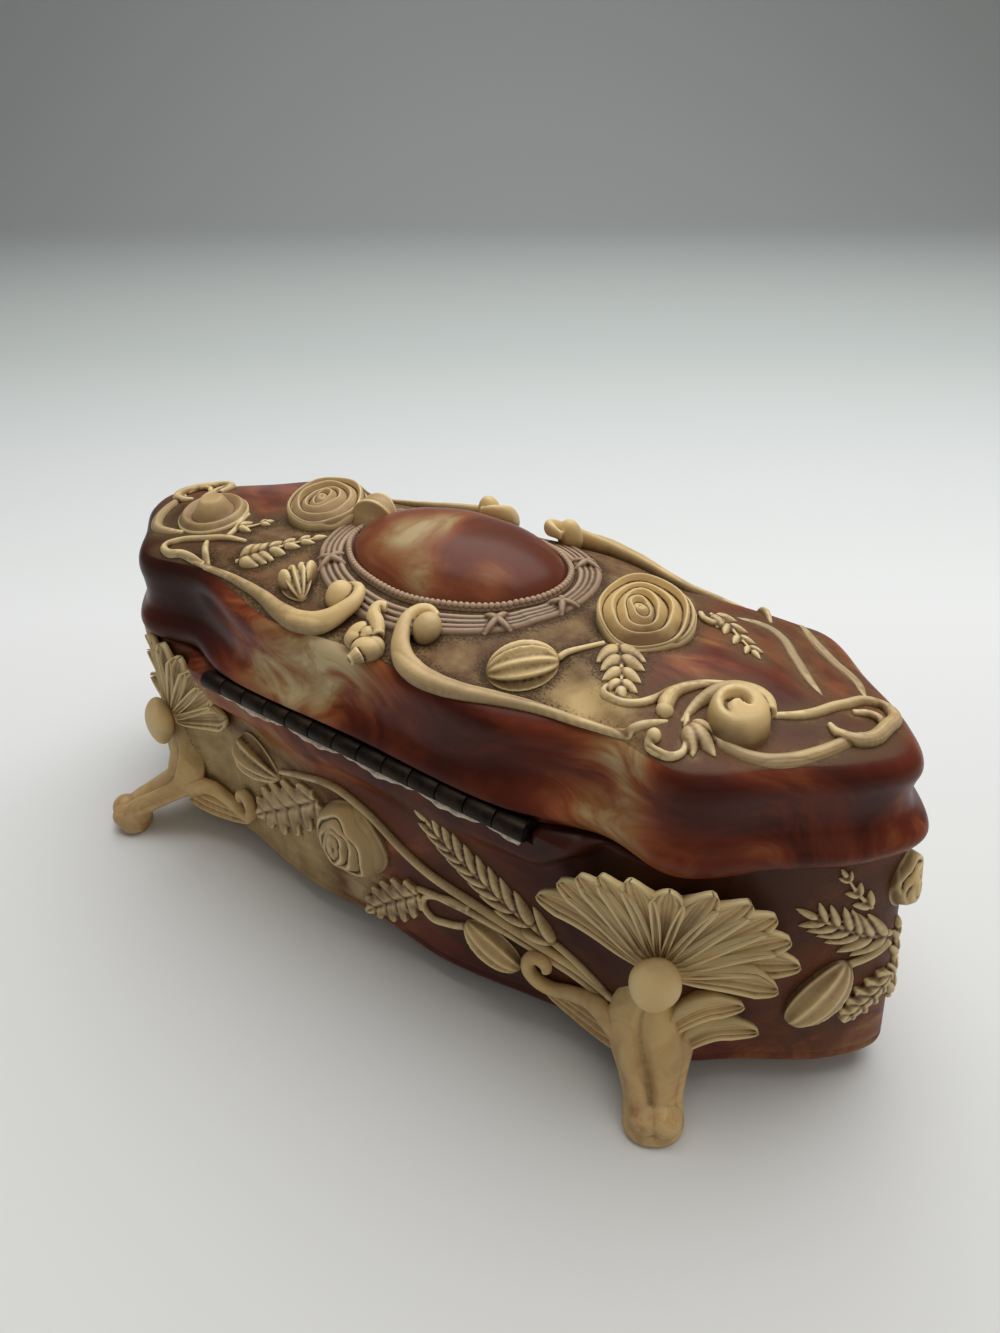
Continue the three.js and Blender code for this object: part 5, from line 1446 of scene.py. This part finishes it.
ear = round_wall(body_ring, np.array([EAR_ALONG]))[0]
knee_out = round_wall(wall_out, np.array([EAR_ALONG]))[0]
turn = np.linspace(0, 2 * math.pi, LEG_AROUND, endpoint=False)


def leg_casting(toe_out, column):
    """Leg, leaf and tendril as one casting; toe_out runs from corner to toe, by a column of the table."""
    facing = toe_out / np.linalg.norm(toe_out)
    sideways = np.array([-facing[1], facing[0]])
    rows = []
    for z, *outs, wide, deep in smooth_through(LEG, 8):
        fade = soft_step(z, 3, 11) * soft_step(-z, -34, -26)
        cut = 0
        for toe, top, share, spread in LEG_GROOVES:
            place = math.pi / 2 + toe + (top - toe) * soft_step(z, 4, 26)
            cut = cut + share * fade * np.exp(-((turn - place) / spread) ** 2)
        across, depth = wide * np.cos(turn), deep * np.sin(turn) * (1 - cut)
        depth -= LEG_WRAP * soft_step(z, 8, 24) * np.cos(turn) ** 2
        plan = ear + toe_out * outs[column] + across[:, None] * sideways + depth[:, None] * facing
        rows.append(np.column_stack([plan, np.full(LEG_AROUND, z)]))

    def within(level, place, share):
        """Point at a level of the leg, a share of the way from its core to its skin."""
        core = rows[level].mean(axis=0)
        skin = rows[level][round((math.pi / 2 + place) / (2 * math.pi) * LEG_AROUND)]
        return core + (skin - core) * share

    levels = np.linspace(20, len(rows) - 16, FOLD_POINTS).astype(int)
    spots = np.interp(np.linspace(0, 1, FOLD_POINTS), np.linspace(0, 1, len(FOLD_PLACES)), FOLD_PLACES)
    folds = [tube([within(i, spot, FOLD_SUNK) for i, spot in zip(levels, spots)], FOLD_RADII)]
    for place, radius in TOE_LOBES:
        folds.append(ball(within(len(rows) - 20, place, LOBE_SUNK), (radius,) * 3))
    poles = [np.tile(rows[i].mean(axis=0), (LEG_AROUND, 1)) for i in (0, -1)]
    leaf = ribbon(
        smooth_through(np.array(LOW_LEAF) + (EAR_ALONG, 0), 10),
        lambda t: 0.8 + 3.8 * np.sqrt(np.clip(t * (1.15 - 0.45 * t), 0, 1)),
        lambda t, s: 1.0 + 1.8 * t + 0.45 * np.cos(3 * math.pi * s), lambda t: -1.0)
    laid = [leaf, tube([(EAR_ALONG + u, z, h) for u, z, h in TENDRIL], TENDRIL_RADII, sides=5)]
    for part in laid:
        move_points(part, on_wall(points_of(part)))
    casting = fuse([shell([poles[0], *rows, poles[1]]), *folds, *laid], 0.34, 2)
    points = points_of(casting)
    points[:, 2] = np.maximum(points[:, 2], 0)
    gap = np.array([np.min(np.hypot(*(body_ring - p[:2]).T)) for p in points])
    # The leg's tone follows this mark: pale away from the wall and low down, dark close to the wall, partly
    # wear and partly painted shade
    set_mark(casting, "rise", np.maximum(gap, 2.4) + 2.0 * (1 - soft_step(points[:, 2], 6, 20)))
    set_mark(casting, "rust", 1 - 0.55 * soft_step(points[:, 2], 4, 14))
    return move_points(casting, points)


def pebble(points):
    """Unit sphere worn out of round."""
    x, y, z = points.T
    return points * (1 + 0.05 * np.sin(3 * z + 1) + 0.05 * np.cos(3 * y + 2 * x))[:, None]


boss_place = np.append(ear + knee_out * BOSS_OUT, KNEE_Z)
feet = {}
# At each end: the way to the toe, the column of the leg's table, the petals' flares, and the sign of X
for end, toe_out, column, flares, sign in (
        ("right", (-12.4, 12.8), 1, (0.8, 4.4), -1), ("left", (-7.2, 10.0), 0, (4.4, 4.4), 1)):
    knob = ball(boss_place, BOSS_HALF, math.atan2(knee_out[1], knee_out[0]), pebble, 48, 32)
    set_mark(knob, "rise", BOSS_RISE)
    foot = join([leg_casting(np.array(toe_out), column), knob, *fan_petals(flares)])
    feet[f"foot_rear_{end}"] = copy_of(foot, f"palmette_rear_{end}", (sign * MM, MM, MM))
    feet[f"foot_front_{end}"] = copy_of(foot, f"palmette_front_{end}", (sign * MM, -MM, MM))
    bpy.data.objects.remove(foot)
print("feet:", len(feet), "points each:", len(feet["foot_rear_left"].data.vertices))

# %% [markdown]
# The hinge is a strip of thirteen knuckles on one pin, of bronze that has gone nearly black. A knuckle is a
# cylinder primitive with its ends bevelled. Odd ones belong to the body's leaf and even ones to the lid's.

# %% Hinge
KNUCKLES = 13
KNUCKLE_PLAY = 0.25
KNUCKLE_BEVEL, PLATE_BEVEL, PIN_BEVEL = 0.25, 0.15, 0.3
PIN_RADIUS = 0.95
LEAF_RISE = 2.0
pitch = 2 * HINGE_HALF / KNUCKLES


def rod(middle, length, radius, bevel, sides, steps):
    """Cylinder primitive with bevelled ends, laid along the hinge line."""
    obj = fresh(bpy.ops.mesh.primitive_cylinder_add, vertices=sides, radius=radius, depth=length)
    apply_modifier(obj, "BEVEL", width=bevel, segments=steps, limit_method="ANGLE")
    x, y, z = points_of(obj).T
    return weld(move_points(obj, np.column_stack([z + middle, x + HINGE_Y, y + HINGE_Z])))


def plate(low, high):
    return apply_modifier(block(low, high), "BEVEL", width=PLATE_BEVEL, segments=2)


def hinge_leaf(plate_z, parity):
    parts = [plate((-HINGE_HALF, LEAF_BACK, plate_z), (HINGE_HALF, slot_back + 0.6, plate_z + LEAF))]
    length = pitch - KNUCKLE_PLAY
    for i in range(parity, KNUCKLES, 2):
        middle = -HINGE_HALF + (i + 0.5) * pitch
        low, high = middle - length / 2, middle + length / 2
        parts.append(rod(middle, length, KNUCKLE_RADIUS, KNUCKLE_BEVEL, 32, 2))
        parts.append(plate((low, slot_back, plate_z), (high, HINGE_Y, plate_z + LEAF)))
    piece = join(parts)
    set_mark(piece, "rise", LEAF_RISE)
    return move_points(piece, points_of(piece) * MM)


hinge_body_leaf = hinge_leaf(RIM_Z - LEAF, 0)
hinge_lid_leaf = hinge_leaf(LID_BOTTOM, 1)
hinge_pin = rod(0, 2 * HINGE_HALF, PIN_RADIUS, PIN_BEVEL, 24, 3)
move_points(hinge_pin, points_of(hinge_pin) * MM)
print("knuckles:", KNUCKLES)

# %% [markdown]
# Glue has squeezed out below the hinge and dried in a ragged pale line. A thin tube follows the slot's
# lower edge, and its radius and path wander by a few summed waves, which repeat the same on every run.

# %% Glue line
GLUE_POINTS = 160
glue_x = np.linspace(-HINGE_HALF + 2, HINGE_HALF - 4, GLUE_POINTS)


def wander(x, seed):
    return sum(math.sin(x / size + seed * k) / k for k, size in ((1, 3.1), (2, 1.3), (3, 0.7))) / 1.8


glue_path = [(x, LEDGE_OUT + 0.3, HINGE_Z - slot_depth - 0.4 + 0.4 * wander(x, 1.3)) for x in glue_x]
glue_radii = [max(0.2, 0.75 + 0.55 * wander(x, 4.1)) for x in glue_x]
glue_line = tube(glue_path, glue_radii, sides=2, steps=2)
move_points(glue_line, points_of(glue_line) * MM)
print("glue line points:", len(glue_line.data.vertices))

# %% [markdown]
# A pad of velvet on thin card lines the floor. It is cut to the plan of the cavity, lies flat on the stone,
# and its edge is rolled over. The closed lid hides it, but it shows as soon as the lid is open.

# %% Floor lining
LINER_LOW, LINER_HIGH = (corner.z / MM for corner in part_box("floor_liner"))
LINER_INSET = WALL + 0.5
liner_ring = serpentine(*BODY_PLAN, inset=LINER_INSET)
liner_edge = serpentine(*BODY_PLAN, inset=LINER_INSET + 0.6)
liner_middle = (LINER_LOW + LINER_HIGH) / 2
liner_rows = [flat_ring(liner_edge, LINER_LOW, share) for share in (0, 0.5, 1)]
liner_rows += [flat_ring(liner_ring, liner_middle)]
liner_rows += [flat_ring(liner_edge, LINER_HIGH - 0.1, share) for share in (1, 0.97, 0.8, 0.6, 0.4, 0.2, 0)]
floor_lining = shell(liner_rows)
move_points(floor_lining, points_of(floor_lining) * MM)

# %% [markdown]
# Three small finishes are left. Bronze that has gone black keeps a dull metal sheen on its edges. Dried
# glue is matt and chalky. Velvet is dark red and lights up at a low angle, which is the sheen of its pile.

# %% Bronze, glue and velvet
TARNISH = 4
CRUMB = 1.2
NAP, PILE = 12, 0.6
# Blackened bronze: dark and patchy, with a dull gleam where it is rubbed
bronze, tree, place = new_material("bronze strip, blackened")
tarnish = noise(tree, place, TARNISH, 4, 0.65)
surface(tree, {
    "Base Color": tones(tree, tarnish, [(0.35, "#15100c"), (0.7, "#3a2c20")]), "Metallic": 0.8,
    "Roughness": remap(tree, tarnish, 0, 1, 0.35, 0.65), "Normal": bump(tree, tarnish, 0.2, 0.2)})

# Dried glue: a chalky crust without gloss
glue, tree, place = new_material("dried glue, chalky")
crumbs = noise(tree, place, CRUMB, 4, 0.7)
surface(tree, {
    "Base Color": tones(tree, crumbs, [(0.3, "#a08c74"), (0.55, "#ddd2c0")]), "Roughness": 0.8,
    "Normal": bump(tree, crumbs, 0.5, 0.3)})

# Cotton velvet: a deep red that brightens towards its outline
velvet, tree, place = new_material("cotton velvet, dark red")
surface(tree, {
    "Base Color": tones(tree, noise(tree, place, NAP, 3), [(0.3, "#3a0d12"), (0.7, "#57161c")]),
    "Roughness": 0.9, "Normal": bump(tree, noise(tree, place, PILE), 0.6, 0.4),
    "Sheen Weight": 0.6, "Sheen Roughness": 0.4, "Sheen Tint": colour("#a04a50")})
print("finishes:", [m.name for m in (bronze, glue, velvet)])

# %% [markdown]
# Three marks are left for the castings. A tan film lies on the middle of the lid's top, on the ends of the
# body and close to the ornament, where a cloth never reaches, and dark grit with painted shade sits right
# beside the relief.
# Both are worked out from the distance to the nearest ornament. The pour mark shifts the marbling to pale or
# dark at a few places, as the colours happened to run in the mould.

# %% Film, grit and shade, and pour marks
LID_RELIEF = [ribbon_wreath, beaded_ring, near_rose, far_rose, *scrolls.values(), snail_right, snail_left,
              seed_pod, rose_leaf, laurel_leaf, tulip_bud, blossom, rosebud, *end_scrolls.values()]
FILM_REACH = 3.6
GRIT_AND_SHADE_REACH = 2.6
CREAM_BANK = (-52, 26.5)
# Place in mm, reach in mm, shift of the marbling: above 0 is paler
LID_POURS = [
    ((62, 33, 80), 12, -0.28), ((88, 18, 80), 13, -0.28), ((84, 28, 67), 9, 0.2), ((33, 39, 75), 10, 0.16),
    ((8, 39, 81), 7, 0.36), ((16, 41, 69), 10, 0.2), ((-38, 38, 80), 15, -0.2), ((-62, 33, 83), 5, 0.5),
    ((-63, 34, 70), 7, 0.36), ((-50, 36, 70), 9, 0.16), ((-80, 33, 81), 9, -0.14), ((-96, 17, 81), 14, -0.1),
    ((-104, 0, 80), 10, -0.2), ((-88, 26, 68), 12, 0.14), ((-106, 8, 68), 10, 0.1), ((-60, 2, 90), 9, 0.12),
    ((-72, -12, 89), 12, -0.06), ((-92, -4, 87), 10, 0.04),
]
BODY_POURS = [
    ((34, 38, 22), 22, 0.34), ((66, 35, 30), 20, 0.2), ((12, 38, 14), 10, 0.2), ((-18, 38, 30), 14, -0.16),
    ((-55, 35, 56), 16, -0.22), ((-46, 36, 22), 16, -0.3), ((-100, 14, 42), 18, -0.14),
    ((-108, 1, 14), 12, 0.1), ((-90, 25, 9), 10, 0.12),
]
STONE_POURS = [
    ((10, 7, 99), 4.5, 0.36), ((5, 1, 100), 4, 0.3), ((-1, 16, 96), 3.2, 0.38), ((-16, 10, 97), 3, 0.26),
    ((-12, -2, 99), 9, -0.06),
]


def pour_marks(points, pours):
    total = np.zeros(len(points))
    for place, reach, shift in pours:
        total += shift * np.exp(-((points - np.array(place)) ** 2).sum(axis=1) / (2 * reach ** 2))
    return total


def nearest(points, relief):
    """Distance in mm from each point to the nearest of the relief's pieces."""
    made = np.concatenate([points_of(obj) / MM for obj in relief])[::3]
    finder = KDTree(len(made))
    for i, point in enumerate(made):
        finder.insert(point, i)
    finder.balance()
    return np.array([finder.find(point)[2] for point in points])


lid_points = points_of(lid_cast)
lid_x, lid_y, lid_z = lid_points.T
on_top = lid_z > LID_EDGE - front_drop(lid_y) - 0.4
near = np.full(len(lid_points), 99.0)
near[on_top] = nearest(lid_points[on_top], LID_RELIEF)
middle = soft_step(lid_x, -64, -50) * soft_step(-lid_x, -70, -52) * on_top
film = np.maximum(0.9 * middle, 0.8 * np.exp(-(near / FILM_REACH) ** 2))
bank = np.exp(-((lid_x - CREAM_BANK[0]) ** 2 / 72 + (lid_y - CREAM_BANK[1]) ** 2 / 18)) * on_top
print("points of the lid under the film:", int((film > 0.5).sum()))
set_mark(lid_cast, "dust", film + bank)
set_mark(lid_cast, "grit_and_shade", np.exp(-(near / GRIT_AND_SHADE_REACH) ** 2) * (0.35 + 0.65 * middle) * (1 - 0.9 * bank))
set_mark(lid_cast, "pour", pour_marks(lid_points, LID_POURS))
move_points(lid_cast, lid_points * MM)

body_points = points_of(body_cast)
near = nearest(body_points, [*wall_pieces.values(), *feet.values()])
body_x, body_y, body_z = body_points.T
film = np.maximum(0.32 * np.exp(-(near / FILM_REACH) ** 2), 0.4 * soft_step(np.abs(body_x), 82, 100))
film = np.maximum(film, 1.35 * soft_step(body_x, -2, 22) * soft_step(-body_z, -52, -40) * (body_y > 0))
set_mark(body_cast, "dust", film)
set_mark(body_cast, "grit_and_shade", 0.5 * np.exp(-(near / GRIT_AND_SHADE_REACH) ** 2))
set_mark(body_cast, "pour", pour_marks(body_points, BODY_POURS))
move_points(body_cast, body_points * MM)
set_mark(cabochon, "pour", pour_marks(points_of(cabochon) / MM, STONE_POURS))
print("points of the body under the film:", int((film > 0.5).sum()))

# %% [markdown]
# Last, every piece is named, shaded and hung on its body, so that it moves with the lid or stays with the
# box, and the CAD solid that it stands for is hidden.

# %% Hang the pieces on the bodies
CREAM_SLOT, TAN_SLOT, MARBLE_SLOT = "cream_cast", "tan_cast", "marbled_cast"
dress(lid_cast, "lid_casting", "lid", marbled, MARBLE_SLOT, "lid_shell")
dress(body_cast, "body_casting", "box", marbled, MARBLE_SLOT, "body_shell")
dress(cabochon, "cabochon_stone", "lid", polished, "polished_cast", "oval_cabochon")
dress(beaded_ring, "bead_border", "lid", tan, TAN_SLOT, "beaded_ring")
dress(ribbon_wreath, "reed_wreath", "lid", tan, TAN_SLOT, "ribbon_wreath")
lid_spray = {
    "lid_rose_right": far_rose, "lid_rose_left": near_rose, "seed_pod": seed_pod, "rose_leaf": rose_leaf,
    "laurel_leaf": laurel_leaf, "tulip_bud": tulip_bud, "blossom": blossom, "rosebud": rosebud,
    "snail_left": snail_left, "snail_right": snail_right, **end_scrolls, **scrolls,
}
for body, ornaments in (("lid", lid_spray), ("box", {**wall_pieces, **feet})):
    for node, piece in ornaments.items():
        dress(piece, f"cast_{node}", body, ivory, CREAM_SLOT, node)
dress(hinge_body_leaf, "knuckle_strip_body", "box", bronze, "bronze", "hinge_body_leaf")
dress(hinge_lid_leaf, "knuckle_strip_lid", "lid", bronze, "bronze", "hinge_lid_leaf")
dress(hinge_pin, "knuckle_pin", "box", bronze, "bronze", "hinge_pin")
dress(glue_line, "glue_line", "box", glue, CREAM_SLOT)
dress(floor_lining, "velvet_lining", "box", velvet, "velvet", "floor_liner")
faces = {piece.name: sum(len(p.vertices) - 2 for p in piece.data.polygons) for piece in made_pieces}
print("pieces:", len(faces), "triangles:", sum(faces.values()), "largest:", max(faces, key=faces.get))
